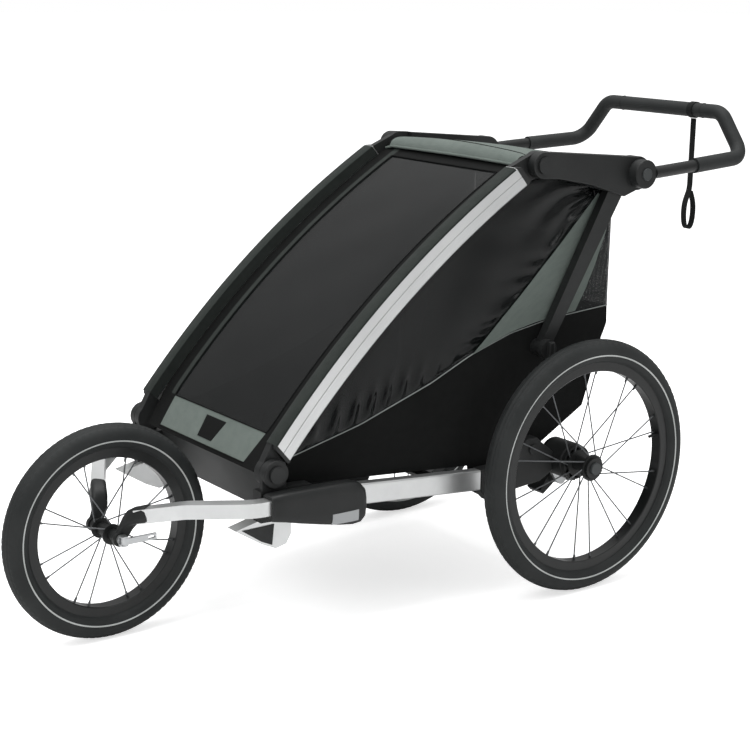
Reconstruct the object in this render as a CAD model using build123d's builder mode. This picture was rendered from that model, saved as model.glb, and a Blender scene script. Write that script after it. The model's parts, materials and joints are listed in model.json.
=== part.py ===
"""A three-wheeled jogging stroller: folding frame, cabin, jog arms and tilting handlebar.

Millimetres. +Z is up, -Y is the front, +X is the child's left. The origin is on the ground, at the
middle of the stroller's length and width. Outlines seen from the side are lists of (y, z), where y
is counted backwards from the rear axle and z upwards from the ground; `side_plane` places them.
"""

import os
from math import atan2, cos, hypot, pi, radians, sin

from build123d import *

# ---------------------------------------------------------------- driving dimensions
WHEELBASE = 883.0
REAR_TYRE_R = 250.0
FRONT_TYRE_R = 198.5
TRACK_HALF = 296.4
TYRE_HALF_WIDTH = 23.5
TYRE_WALL = 4.0
REAR_RIM_INNER_R = 189.3
FRONT_RIM_INNER_R = 138.0
RIM_HALF_WIDTH = 13.0
RIM_WALL = 2.5
SPOKE_R = 1.3
REAR_SPOKE_PAIRS = 10
FRONT_SPOKE_PAIRS = 8

GRIP_REACH = 461.0          # rear axle to the handlebar's cross bar, rearwards
GRIP_HEIGHT = 904.0
BAR_R = 12.0
GRIP_R = 15.0

RUN_GAP = 0.08              # radial clearance of a shaft in its hole
SEAT_GAP = 0.3              # clearance between curved pieces that only rest on each other
WALL = 2.5                  # tube walls

# layers across the stroller, measured from the middle
STRUT_IN = 190.0
STRUT_OUT = 206.0
SIDE_IN = 206.6             # side fabric
SIDE_OUT = 209.4
RAIL_IN = 210.0             # silver front rail
RAIL_OUT = 238.0
LUG_SPLIT = 226.0           # inner and outer lugs of a hinge meet about here
SILL_IN = 214.0             # lower side rail
SILL_OUT = 236.0
UPRIGHT_IN = 216.0
UPRIGHT_OUT = 234.0
HOUSING_OUT = 243.0
FOOT_IN = 196.0
FOOT_OUT = 224.0
SOCKET_OUT = 272.0
CARRIER_IN = 200.0
CARRIER_OUT = 262.0

# side-view points
AXLE_Z = REAR_TYRE_R
FRONT_HINGE = (-679.0, 331.0)
TOP_HINGE = (-89.0, 831.0)
HANDLE_HINGE = (155.0, 803.0)
KNEE = (-64.0, 479.0)
STRUT_FOOT = (-86.0, 282.0)
BRAKE_ROD = (32.0, 193.0)
RAIL_START = (-661.0, 366.0)
RAIL_END = (-139.5, 812.5)
RAIL_BOW = 30.0
RAIL_HALF = 23.0
SILL_HALF = 20.0
SILL_FRONT_Y = -600.0
SILL_REAR_Y = -215.0
SILL_DROP = 0.0758          # how much the sill falls for each millimetre backwards

LUG_R = 25.0
PIN_R = 6.0
DRUM_R = 36.0
HUB_R = 28.0
AXLE_R = 6.0
AXLE_TUBE_R = 14.0
KNOB_R = 19.0
BRAKE_ROD_R = 7.0
BRAKE_PIN_R = 4.0
BRAKE_PIN_ARM = 26.0        # axle to brake pin
BRAKE_SLOTS = 12

ARM_HEIGHT = 26.0
ARM_WIDTH = 24.0
ARM_TIP_BACK = 23.0         # front axle to the tip of each jog arm, rearwards
ARM_ROUTE = [
    (78.0, ARM_TIP_BACK - WHEELBASE, 245.0),
    (165.0, ARM_TIP_BACK + 48 - WHEELBASE, 270.0),
    (252.0, -728.0, 280.0),
    (252.0, -540.0, 280.0),
]
ARM_BEND_R = 45.0
SKEWER_R = 5.0
SEAT_TOP = 345.0
SEAT_DROP = 6.0
SEAT_FRONT, SEAT_REAR = -420.0, -112.0
BUCKLE_Y = -300.0
BUCKLE_LONG = 40.0

# the rear axle stands where the whole length is centred on the origin
AXLE_Y = (WHEELBASE + FRONT_TYRE_R - GRIP_REACH - GRIP_R) / 2

os.makedirs("parts", exist_ok=True)


# ---------------------------------------------------------------- helpers
def side_plane(x):
    """The side view at a distance from the middle: local x is y from the rear axle, local y is z."""
    return Plane(origin=(x, AXLE_Y, 0), x_dir=(0, 1, 0), z_dir=(1, 0, 0))


def sill_z(y):
    """Height of the lower side rail's centre line."""
    return 262.0 - SILL_DROP * (y + 497.0)


def between(a, b, share):
    """The point a share of the way from a to b."""
    return (a[0] + (b[0] - a[0]) * share, a[1] + (b[1] - a[1]) * share)


def save(part, name):
    """Label a finished piece and write it."""
    part.label = name
    export_step(part, f"parts/{name}.step")


def disc_at(centre, radius, x_in, x_out, mode=Mode.ADD):
    """Inside a part block: a cylinder across the stroller between two distances from the middle."""
    with BuildSketch(side_plane(x_in)) as profile:
        with Locations(centre):
            Circle(radius)
    extrude(profile.sketch, amount=x_out - x_in, mode=mode)


def slab_at(outline, x_in, x_out, mode=Mode.ADD):
    """Inside a part block: an outline of (y, z) points between two distances from the middle."""
    with BuildSketch(side_plane(x_in)) as profile:
        with BuildLine():
            Polyline(*outline, close=True)
        make_face()
    extrude(profile.sketch, amount=x_out - x_in, mode=mode)


def rail_frame():
    """Chord length, unit chord and unit upward normal of the front rail."""
    dy, dz = RAIL_END[0] - RAIL_START[0], RAIL_END[1] - RAIL_START[1]
    chord = hypot(dy, dz)
    return chord, (dy / chord, dz / chord), (-dz / chord, dy / chord)


def rail_point(along, up):
    """A point given along the rail's chord from its start and up from the rail's bowed middle line."""
    chord, unit, normal = rail_frame()
    share = along / chord
    lift = 4 * RAIL_BOW * share * (1 - share) + up
    return (
        RAIL_START[0] + unit[0] * along + normal[0] * lift,
        RAIL_START[1] + unit[1] * along + normal[1] * lift,
    )


def bowed_outline(start, end, below, above):
    """Inside a line block: a closed band that follows the rail's bow between two places on its chord."""
    middle = (start + end) / 2
    lower = ThreePointArc(rail_point(start, below), rail_point(middle, below), rail_point(end, below))
    upper = ThreePointArc(rail_point(start, above), rail_point(middle, above), rail_point(end, above))
    Line(lower @ 0, upper @ 0)
    Line(lower @ 1, upper @ 1)


def bowed_band(start, end, below, above, x_in, x_out, mode=Mode.ADD):
    """Inside a part block: a bowed band between two distances from the middle."""
    with BuildSketch(side_plane(x_in)) as profile:
        with BuildLine():
            bowed_outline(start, end, below, above)
        make_face()
    extrude(profile.sketch, amount=x_out - x_in, mode=mode)


# ---------------------------------------------------------------- wheels
def ring_section(x, y, z):
    """A half plane through a wheel's axis: local x across the stroller, local y outwards."""
    return Plane(origin=(x, AXLE_Y + y, z), x_dir=(1, 0, 0), z_dir=(0, -1, 0))


def make_tyre(x, y, z, outer_r, rim_inner_r):
    """A hollow tyre, open inwards where it grips the rim."""
    rim_outer_r = rim_inner_r + (outer_r - rim_inner_r) * 0.31
    with BuildPart() as tyre:
        with BuildSketch(ring_section(x, y, z)):
            with Locations((0, outer_r - TYRE_HALF_WIDTH)):
                Circle(TYRE_HALF_WIDTH)
                Circle(TYRE_HALF_WIDTH - TYRE_WALL, mode=Mode.SUBTRACT)
            with Locations((0, rim_outer_r + SEAT_GAP - 20)):
                Rectangle(2 * (RIM_HALF_WIDTH + SEAT_GAP), 40, mode=Mode.SUBTRACT)
        revolve(axis=Axis((x, AXLE_Y + y, z), (1, 0, 0)))
    return tyre.part


def make_rim(x, y, z, outer_r, rim_inner_r):
    """A double-wall rim with a well for the tyre."""
    rim_outer_r = rim_inner_r + (outer_r - rim_inner_r) * 0.31
    depth = rim_outer_r - rim_inner_r
    with BuildPart() as rim:
        with BuildSketch(ring_section(x, y, z)):
            with Locations((0, rim_inner_r + depth / 2)):
                Rectangle(2 * RIM_HALF_WIDTH, depth)
            with Locations((0, rim_outer_r)):
                Rectangle(2 * (RIM_HALF_WIDTH - RIM_WALL), depth, mode=Mode.SUBTRACT)
            with Locations((0, rim_inner_r + depth * 0.25)):
                Rectangle(2 * (RIM_HALF_WIDTH - RIM_WALL), depth * 0.2, mode=Mode.SUBTRACT)
        revolve(axis=Axis((x, AXLE_Y + y, z), (1, 0, 0)))
        chamfered = rim.edges().filter_by(GeomType.CIRCLE).group_by(SortBy.RADIUS)[0]
        chamfer(chamfered, 1.5)
    return rim.part


def make_spokes(x, y, z, rim_inner_r, pairs, flange_xs, flange_r):
    """Crossing pairs of straight spokes from the hub's two flanges to the rim."""
    lean = radians(9.0)
    with BuildPart() as spokes:
        for i in range(pairs):
            middle = 2 * pi * (i + 0.5) / pairs
            for side, flange_x in zip((-1, 1), flange_xs):
                at_hub = middle - side * 2.6 * lean
                at_rim = middle + side * lean * 0.62
                foot = Vector(flange_x, AXLE_Y + y + flange_r * cos(at_hub), z + flange_r * sin(at_hub))
                head_r = rim_inner_r + 1.2
                head = Vector(x + side * 3, AXLE_Y + y + head_r * cos(at_rim), z + head_r * sin(at_rim))
                along = head - foot
                with BuildSketch(Plane(origin=foot, z_dir=along)):
                    Circle(SPOKE_R)
                extrude(amount=along.length)
    return spokes.part


def make_rear_hub(side):
    """Hub of a rear wheel: slotted brake ring, barrel, two flanges and a knurled outer cap."""
    with BuildPart() as hub:
        disc_at((0, AXLE_Z), DRUM_R - 2, CARRIER_OUT + 1.5, CARRIER_OUT + 8)
        disc_at((0, AXLE_Z), 15, CARRIER_OUT + 8, 316)
        disc_at((0, AXLE_Z), 26, 270, 274)
        disc_at((0, AXLE_Z), 26, 311, 315)
        disc_at((0, AXLE_Z), 21, 315, 321)
        with BuildSketch(side_plane(CARRIER_OUT + 1.5)):
            with Locations((0, AXLE_Z)):
                with PolarLocations(BRAKE_PIN_ARM, BRAKE_SLOTS, start_angle=270):
                    Circle(BRAKE_PIN_R + 1)
        extrude(amount=6.5, mode=Mode.SUBTRACT)
        with BuildSketch(side_plane(315)):
            with Locations((0, AXLE_Z)):
                with PolarLocations(21, 24):
                    Circle(1.2)
        extrude(amount=6, mode=Mode.SUBTRACT)
        disc_at((0, AXLE_Z), AXLE_R + RUN_GAP, CARRIER_OUT, 322, Mode.SUBTRACT)
        disc_at((0, AXLE_Z), 12 + RUN_GAP, 317, 322, Mode.SUBTRACT)
        if side < 0:
            mirror(about=Plane.YZ, mode=Mode.REPLACE)
    return hub.part


def make_axle_button(side):
    """Quick-release axle of a rear wheel, with the round button on its outer end."""
    with BuildPart() as button:
        disc_at((0, AXLE_Z), AXLE_R, 214, 321)
        disc_at((0, AXLE_Z), 12, 321, 326)
        fillet(button.edges().group_by(Axis.X)[-1], 1.5)
        if side < 0:
            mirror(about=Plane.YZ, mode=Mode.REPLACE)
    return button.part


def wheels():
    """Both rear wheels and the front wheel."""
    for side, name in ((1, "left"), (-1, "right")):
        x = side * TRACK_HALF
        save(make_tyre(x, 0, AXLE_Z, REAR_TYRE_R, REAR_RIM_INNER_R), f"rear_tyre_{name}")
        save(make_rim(x, 0, AXLE_Z, REAR_TYRE_R, REAR_RIM_INNER_R), f"rear_rim_{name}")
        flanges = sorted((side * 272.0, side * 313.0))
        spokes = make_spokes(x, 0, AXLE_Z, REAR_RIM_INNER_R, REAR_SPOKE_PAIRS, flanges, 22)
        save(spokes, f"rear_spokes_{name}")
        save(make_rear_hub(side), f"rear_hub_{name}")
        save(make_axle_button(side), f"axle_button_{name}")
    y, z = -WHEELBASE, FRONT_TYRE_R
    save(make_tyre(0, y, z, FRONT_TYRE_R, FRONT_RIM_INNER_R), "front_tyre")
    save(make_rim(0, y, z, FRONT_TYRE_R, FRONT_RIM_INNER_R), "front_rim")
    save(make_spokes(0, y, z, FRONT_RIM_INNER_R, FRONT_SPOKE_PAIRS, (-21.5, 21.5), 16), "front_spokes")
    with BuildPart() as front_hub:
        disc_at((y, z), 11, -44.5, 44.5)
        disc_at((y, z), 19, -23, -20)
        disc_at((y, z), 19, 20, 23)
        disc_at((y, z), SKEWER_R + RUN_GAP, -45, 45, Mode.SUBTRACT)
    save(front_hub.part, "front_hub")


# ---------------------------------------------------------------- chassis
def chassis():
    """The lower frame that carries the axles, the jog sockets and the cabin floor."""
    front, rear = SILL_FRONT_Y, SILL_REAR_Y
    with BuildPart() as side_rails:
        outer = [
            (front, sill_z(front) - SILL_HALF),
            (rear, sill_z(rear) - SILL_HALF),
            (rear, sill_z(rear) + SILL_HALF),
            (front, sill_z(front) + SILL_HALF),
        ]
        slab_at(outer, SILL_IN, SILL_OUT)
        fillet(side_rails.edges().filter_by(lambda e: e.length > 300), 4)
        inset = SILL_HALF - WALL
        inner = [
            (front, sill_z(front) - inset),
            (rear, sill_z(rear) - inset),
            (rear, sill_z(rear) + inset),
            (front, sill_z(front) + inset),
        ]
        slab_at(inner, SILL_IN + WALL, SILL_OUT - WALL, Mode.SUBTRACT)
        mirror(about=Plane.YZ)
    save(side_rails.part, "side_rails")

    hinge_y, hinge_z = FRONT_HINGE
    base_top = hinge_z - LUG_R - 4
    with BuildPart() as front_corners:
        base = [(-706, 246), (front, 243), (front, base_top - 2), (-640, base_top), (-706, base_top)]
        slab_at(base, RAIL_IN, SILL_OUT)
        cheek = [(hinge_y - 24, base_top - 20), (hinge_y + 24, base_top - 20), (hinge_y + 24, hinge_z)]
        slab_at(cheek + [(hinge_y - 24, hinge_z)], LUG_SPLIT + 1, SILL_OUT)
        disc_at(FRONT_HINGE, LUG_R, LUG_SPLIT + 1, RAIL_OUT + 6)
        fillet(front_corners.edges().group_by(Axis.X)[-1], 2)
        disc_at(FRONT_HINGE, PIN_R + RUN_GAP, RAIL_IN, RAIL_OUT + 6, Mode.SUBTRACT)
        mirror(about=Plane.YZ)
    save(front_corners.part, "front_corners")

    # rounded feet that hang under the front corners
    with BuildPart() as front_feet:
        outline = [(-706, 245.8), (-750, 236), (-697, 203), (-668, 190), (-646, 195), (-636, 212), (-636, 243.8)]
        slab_at(outline, FOOT_IN, FOOT_OUT)
        fillet(front_feet.edges().filter_by(Axis.X).group_by(Axis.Z)[0], 8)
        mirror(about=Plane.YZ)
    save(front_feet.part, "front_feet")

    with BuildPart() as cross_members:
        for y, top in ((-575, 262), (-255, 250)):
            for half, low, mode in ((SILL_IN, 224, Mode.ADD), (SIDE_IN - 1, 230, Mode.SUBTRACT)):
                outline = [(-half, low), (half, low), (half, top), (-half, top)]
                with BuildSketch(Plane(origin=(0, AXLE_Y + y + 15, 0), x_dir=(1, 0, 0), z_dir=(0, -1, 0))):
                    with BuildLine():
                        Polyline(*outline, close=True)
                    make_face()
                extrude(amount=30, mode=mode)
    save(cross_members.part, "cross_members")

    foot_y, foot_z = STRUT_FOOT
    with BuildPart() as rear_brackets:
        outline = [
            (rear, sill_z(rear) - SILL_HALF),
            (-192, 196),
            (-150, 206),
            (-62, 214),
            (-30, 232),
            (-30, 268),
            (foot_y + 22, foot_z + 12),
            (foot_y + 12, foot_z + 22),
            (foot_y - 12, foot_z + 22),
            (-150, 262),
            (rear, sill_z(rear) + SILL_HALF),
        ]
        slab_at(outline, 212, SILL_OUT)
        disc_at((0, AXLE_Z), DRUM_R + 0.2, 200, 240, Mode.SUBTRACT)
        fillet(rear_brackets.edges().group_by(Axis.X)[-1].filter_by(GeomType.LINE), 3)
        disc_at(STRUT_FOOT, PIN_R + RUN_GAP, 200, 240, Mode.SUBTRACT)
        mirror(about=Plane.YZ)
    save(rear_brackets.part, "rear_brackets")

    with BuildPart() as hub_carriers:
        disc_at((0, AXLE_Z), DRUM_R, CARRIER_IN, CARRIER_OUT)
        fillet(hub_carriers.edges().group_by(Axis.X)[-1], 4)
        disc_at((0, AXLE_Z), AXLE_R + RUN_GAP, 206, CARRIER_OUT, Mode.SUBTRACT)
        disc_at((0, AXLE_Z - BRAKE_PIN_ARM), BRAKE_PIN_R + RUN_GAP, 202, CARRIER_OUT, Mode.SUBTRACT)
        mirror(about=Plane.YZ)
    save(hub_carriers.part, "hub_carriers")

    with BuildPart() as rear_axle_tube:
        disc_at((0, AXLE_Z), AXLE_TUBE_R, -CARRIER_IN, CARRIER_IN)
        disc_at((0, AXLE_Z), AXLE_TUBE_R - WALL, -CARRIER_IN, CARRIER_IN, Mode.SUBTRACT)
    save(rear_axle_tube.part, "rear_axle_tube")

    # fixed bolts of the front hinges and of the struts' feet
    with BuildPart() as pivot_bolts:
        disc_at(FRONT_HINGE, PIN_R, RAIL_IN, RAIL_OUT + 6)
        disc_at(FRONT_HINGE, 15, RAIL_OUT + 6, RAIL_OUT + 11)
        disc_at(STRUT_FOOT, PIN_R, STRUT_IN, SILL_OUT)
        disc_at(STRUT_FOOT, 10, SILL_OUT, SILL_OUT + 4)
        disc_at(STRUT_FOOT, 10, STRUT_IN - 4, STRUT_IN - SEAT_GAP)
        disc_at(STRUT_FOOT, PIN_R, STRUT_IN - 2, STRUT_IN)
        mirror(about=Plane.YZ)
    save(pivot_bolts.part, "pivot_bolts")


def jog_sockets():
    """The two boots outside the side rails that take the jog arms, and their reflectors."""
    arm_x, _, arm_z = ARM_ROUTE[-1]
    with BuildPart() as jog_sockets:
        outline = [
            (-706, 254), (-690, 250), (-560, 224), (-512, 220), (-498, 230), (-498, 274), (-524, 299), (-706, 303)
        ]
        slab_at(outline, SILL_OUT, SOCKET_OUT)
        fillet(jog_sockets.edges().group_by(Axis.X)[-1], 7)
        with BuildSketch(Plane(origin=(arm_x, AXLE_Y - 706, arm_z), x_dir=(1, 0, 0), z_dir=(0, -1, 0))):
            Rectangle(ARM_WIDTH + 2 * SEAT_GAP, ARM_HEIGHT + 2 * SEAT_GAP)
        extrude(amount=-(706 - 535), mode=Mode.SUBTRACT)
        mirror(about=Plane.YZ)
    save(jog_sockets.part, "jog_sockets")
    reflector = [(-582, 228), (-510, 226), (-510, 250), (-582, 252)]
    with BuildPart() as socket_reflectors:
        slab_at(reflector, SOCKET_OUT, SOCKET_OUT + 2)
        mirror(about=Plane.YZ)
    save(socket_reflectors.part, "socket_reflectors")


def brake():
    """Parking brake: a rocker pedal on a cross rod that pushes a pin into each rear hub."""
    with BuildPart() as brake_frame:
        disc_at(BRAKE_ROD, BRAKE_ROD_R, -186, 186)
        for x_in, x_out in ((-194, -186), (186, 194)):
            disc_at((0, AXLE_Z), 22, x_in, x_out)
            disc_at(BRAKE_ROD, 12, x_in, x_out)
            slab_at([(-15, 240), (20, 188), (42, 200), (20, 262)], x_in, x_out)
        disc_at((0, AXLE_Z), AXLE_TUBE_R + SEAT_GAP, -200, 200, Mode.SUBTRACT)
    save(brake_frame.part, "brake_frame")

    with BuildPart() as brake_pedal:
        disc_at(BRAKE_ROD, 13, 126, 174)
        slab_at([(20, 199), (-2, 166), (6, 158), (40, 183), (92, 172), (94, 182), (42, 206)], 130, 170)
        disc_at(BRAKE_ROD, BRAKE_ROD_R + RUN_GAP, 120, 180, Mode.SUBTRACT)
    save(brake_pedal.part, "brake_pedal")
    for side, name in ((1, "left"), (-1, "right")):
        with BuildPart() as brake_pin:
            disc_at((0, AXLE_Z - BRAKE_PIN_ARM), BRAKE_PIN_R, 204, CARRIER_OUT - 2)
            if side < 0:
                mirror(about=Plane.YZ, mode=Mode.REPLACE)
        save(brake_pin.part, f"brake_pin_{name}")


# ---------------------------------------------------------------- jog kit
def jog_kit():
    """The two silver arms, their drop-outs and the front axle with its quick release."""
    y, z = -WHEELBASE, FRONT_TYRE_R
    route = [(px, AXLE_Y + py, pz) for px, py, pz in ARM_ROUTE]
    with BuildPart() as jog_arms:
        with BuildLine() as path:
            FilletPolyline(*route, radius=ARM_BEND_R)
        with BuildSketch(Plane(origin=path.line @ 1, x_dir=(1, 0, 0), z_dir=(0, 1, 0))):
            Rectangle(ARM_WIDTH, ARM_HEIGHT)
        sweep(path=path.line)
        mirror(about=Plane.YZ)
    save(jog_arms.part, "jog_arms")

    with BuildPart() as dropouts:
        disc_at((y, z), 13, 46, 54)
        slab_at([(y - 10, z + 8), (y + 13, z), (y + 46, z + 32), (y + 12, z + 34)], 46, 54)
        slab_at([(y + 10, z + 30), (y + 46, z + 30), (y + 50, z + 64), (y + 14, z + 66)], 46, 88)
        disc_at((y, z), SKEWER_R + RUN_GAP, 40, 60, Mode.SUBTRACT)
        fillet(dropouts.edges().filter_by(Axis.X).group_by(Axis.Z)[-1], 5)
        mirror(about=Plane.YZ)
        add(jog_arms.part, mode=Mode.SUBTRACT)
    save(dropouts.part, "dropouts")

    with BuildPart() as front_axle:
        disc_at((y, z), SKEWER_R, -62, 60)
        disc_at((y, z), 9, -62, -54.3)
        disc_at((y, z), 9, 54.3, 60)
        with BuildSketch(Plane.XY.offset(z - 9)):
            with Locations((64, AXLE_Y + y)):
                Rectangle(16, 12)
        extrude(amount=18)
        with BuildSketch(Plane.XY.offset(z - 6)):
            with Locations((66, AXLE_Y + y)):
                Rectangle(13, 14)
        extrude(amount=12, mode=Mode.SUBTRACT)
        with BuildSketch(Plane.XY.offset(z - 9)):
            with Locations((67, AXLE_Y + y)):
                Circle(3)
        extrude(amount=18)
    save(front_axle.part, "front_axle")

    with BuildPart() as qr_lever:
        with BuildSketch(Plane.XY.offset(z - 5.7)):
            with Locations((67, AXLE_Y + y)):
                Circle(5.5)
            with Locations((70, AXLE_Y + y + 31)):
                Rectangle(5, 62)
        extrude(amount=11.4)
        with BuildSketch(Plane.XY.offset(z - 6)):
            with Locations((67, AXLE_Y + y)):
                Circle(3 + RUN_GAP)
        extrude(amount=12, mode=Mode.SUBTRACT)
        with BuildSketch(side_plane(60)):
            with Locations((y + 52, z)):
                SlotOverall(14, 5)
        extrude(amount=20, mode=Mode.SUBTRACT)
    save(qr_lever.part, "qr_lever")


# ---------------------------------------------------------------- folding frame
def front_rails():
    """The bowed silver rails, their lower feet and upper heads, and the bar between the heads."""
    chord, _, _ = rail_frame()
    with BuildPart() as rails:
        bowed_band(0, chord, -RAIL_HALF, RAIL_HALF, RAIL_IN, RAIL_OUT)
        chamfer(rails.edges().group_by(Axis.X)[-1].filter_by(lambda e: e.length > 300), 3)
        inner = RAIL_HALF - WALL
        bowed_band(0, chord, -inner, inner, RAIL_IN + WALL, RAIL_OUT - WALL, Mode.SUBTRACT)
        bowed_band(0, chord, -0.8, 0.8, RAIL_OUT - 1, RAIL_OUT, Mode.SUBTRACT)
        mirror(about=Plane.YZ)
    save(rails.part, "front_rails")

    low_out, low_in = rail_point(0, RAIL_HALF), rail_point(0, -RAIL_HALF)
    hinge_y, hinge_z = FRONT_HINGE
    low_waist = [between(low_in, FRONT_HINGE, 0.18), between(low_out, FRONT_HINGE, 0.18)]
    foot = [low_out, low_in, (hinge_y + 22, hinge_z - 8), (hinge_y - 22, hinge_z + 8)]
    top_out, top_in = rail_point(chord, RAIL_HALF), rail_point(chord, -RAIL_HALF)
    top_y, top_z = TOP_HINGE
    top_waist = [between(top_in, TOP_HINGE, 0.2), between(top_out, TOP_HINGE, 0.2)]
    head = [top_out, top_in, (top_y + 10, top_z - 20), (top_y - 10, top_z + 22)]
    with BuildPart() as rail_ends:
        slab_at([low_out, low_in] + low_waist, RAIL_IN, RAIL_OUT)
        slab_at(foot, RAIL_IN, LUG_SPLIT)
        disc_at(FRONT_HINGE, LUG_R, RAIL_IN, LUG_SPLIT)
        disc_at(FRONT_HINGE, PIN_R + RUN_GAP, RAIL_IN, RAIL_OUT, Mode.SUBTRACT)
        slab_at([top_out, top_in] + top_waist, RAIL_IN, RAIL_OUT)
        slab_at(head, RAIL_IN, LUG_SPLIT - 3)
        disc_at(TOP_HINGE, LUG_R, RAIL_IN, LUG_SPLIT - 3)
        disc_at(TOP_HINGE, PIN_R + RUN_GAP, RAIL_IN, RAIL_OUT, Mode.SUBTRACT)
        mirror(about=Plane.YZ)
    save(rail_ends.part, "rail_ends")

    with BuildPart() as canopy_bar:
        disc_at(TOP_HINGE, 9, -RAIL_IN, RAIL_IN)
        disc_at(TOP_HINGE, 9 - WALL, 1 - RAIL_IN, RAIL_IN - 1, Mode.SUBTRACT)
        for side in (-1, 1):
            for radius, x_from, x_to in ((PIN_R, RAIL_IN - 1, HOUSING_OUT + 1), (16, HOUSING_OUT + SEAT_GAP, HOUSING_OUT + 5)):
                disc_at(TOP_HINGE, radius, min(side * x_from, side * x_to), max(side * x_from, side * x_to))
    save(canopy_bar.part, "canopy_bar")


def top_frame():
    """Top housings, rear uprights, the bar across them, struts and the knobs that lock the fold."""
    hinge_y, hinge_z = TOP_HINGE
    handle_y, handle_z = HANDLE_HINGE
    knee_y, knee_z = KNEE
    with BuildPart() as top_housings:
        disc_at(TOP_HINGE, LUG_R, LUG_SPLIT - 2, HOUSING_OUT)
        slab_at([(hinge_y, hinge_z - LUG_R), (-45, 803), (-45, 853), (hinge_y, hinge_z + LUG_R)],
                LUG_SPLIT - 2, HOUSING_OUT)
        slab_at([(-52, 804), (35, 787), (121, 760), (handle_y + 8, 774), (handle_y, handle_z + 32), (-52, 853)],
                SILL_IN, HOUSING_OUT)
        disc_at(HANDLE_HINGE, 33, SILL_IN, HOUSING_OUT)
        fillet(top_housings.edges().group_by(Axis.X)[-1], 2)
        disc_at(TOP_HINGE, PIN_R + RUN_GAP, SILL_IN, HOUSING_OUT + 1, Mode.SUBTRACT)
        disc_at(HANDLE_HINGE, 10, HOUSING_OUT, HOUSING_OUT + 10)
        mirror(about=Plane.YZ)
    save(top_housings.part, "top_housings")

    under_front, under_rear = between((35, 787), (121, 760), 0.58), (121, 760)
    with BuildPart() as uprights:
        slab_at([under_front, (knee_y - 14, knee_z), (knee_y + 14, knee_z - 2), under_rear], UPRIGHT_IN, UPRIGHT_OUT)
        disc_at(KNEE, 15, UPRIGHT_IN, UPRIGHT_OUT)
        disc_at(KNEE, 5 + RUN_GAP, UPRIGHT_IN + 3, UPRIGHT_OUT, Mode.SUBTRACT)
        mirror(about=Plane.YZ)
    save(uprights.part, "uprights")

    with BuildPart() as rear_cross_bar:
        disc_at((98, 806), 10, -SILL_IN, SILL_IN)
        disc_at((98, 806), 10 - WALL, -SILL_IN, SILL_IN, Mode.SUBTRACT)
    save(rear_cross_bar.part, "rear_cross_bar")

    with BuildPart() as struts:
        foot_y, foot_z = STRUT_FOOT
        slab_at([(foot_y - 12, foot_z), (foot_y + 12, foot_z), (knee_y + 12, knee_z), (knee_y - 12, knee_z)],
                STRUT_IN, STRUT_OUT)
        disc_at(STRUT_FOOT, 16, STRUT_IN, STRUT_OUT)
        disc_at(KNEE, 15, STRUT_IN, UPRIGHT_IN - 0.5)
        disc_at(STRUT_FOOT, PIN_R + RUN_GAP, STRUT_IN, STRUT_OUT, Mode.SUBTRACT)
        mirror(about=Plane.YZ)
    save(struts.part, "struts")

    for side, name in ((1, "left"), (-1, "right")):
        with BuildPart() as fold_knob:
            disc_at(KNEE, 5, UPRIGHT_IN + 4, UPRIGHT_OUT + 1)
            disc_at(KNEE, KNOB_R, UPRIGHT_OUT + SEAT_GAP, UPRIGHT_OUT + 14)
            slab_at([(knee_y - 6, knee_z - 16), (knee_y + 6, knee_z - 16), (knee_y + 6, knee_z + 16),
                     (knee_y - 6, knee_z + 16)], UPRIGHT_OUT + 14, UPRIGHT_OUT + 24)
            fillet(fold_knob.edges().group_by(Axis.X)[-1], 3)
            if side < 0:
                mirror(about=Plane.YZ, mode=Mode.REPLACE)
        save(fold_knob.part, f"fold_knob_{name}")


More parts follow.
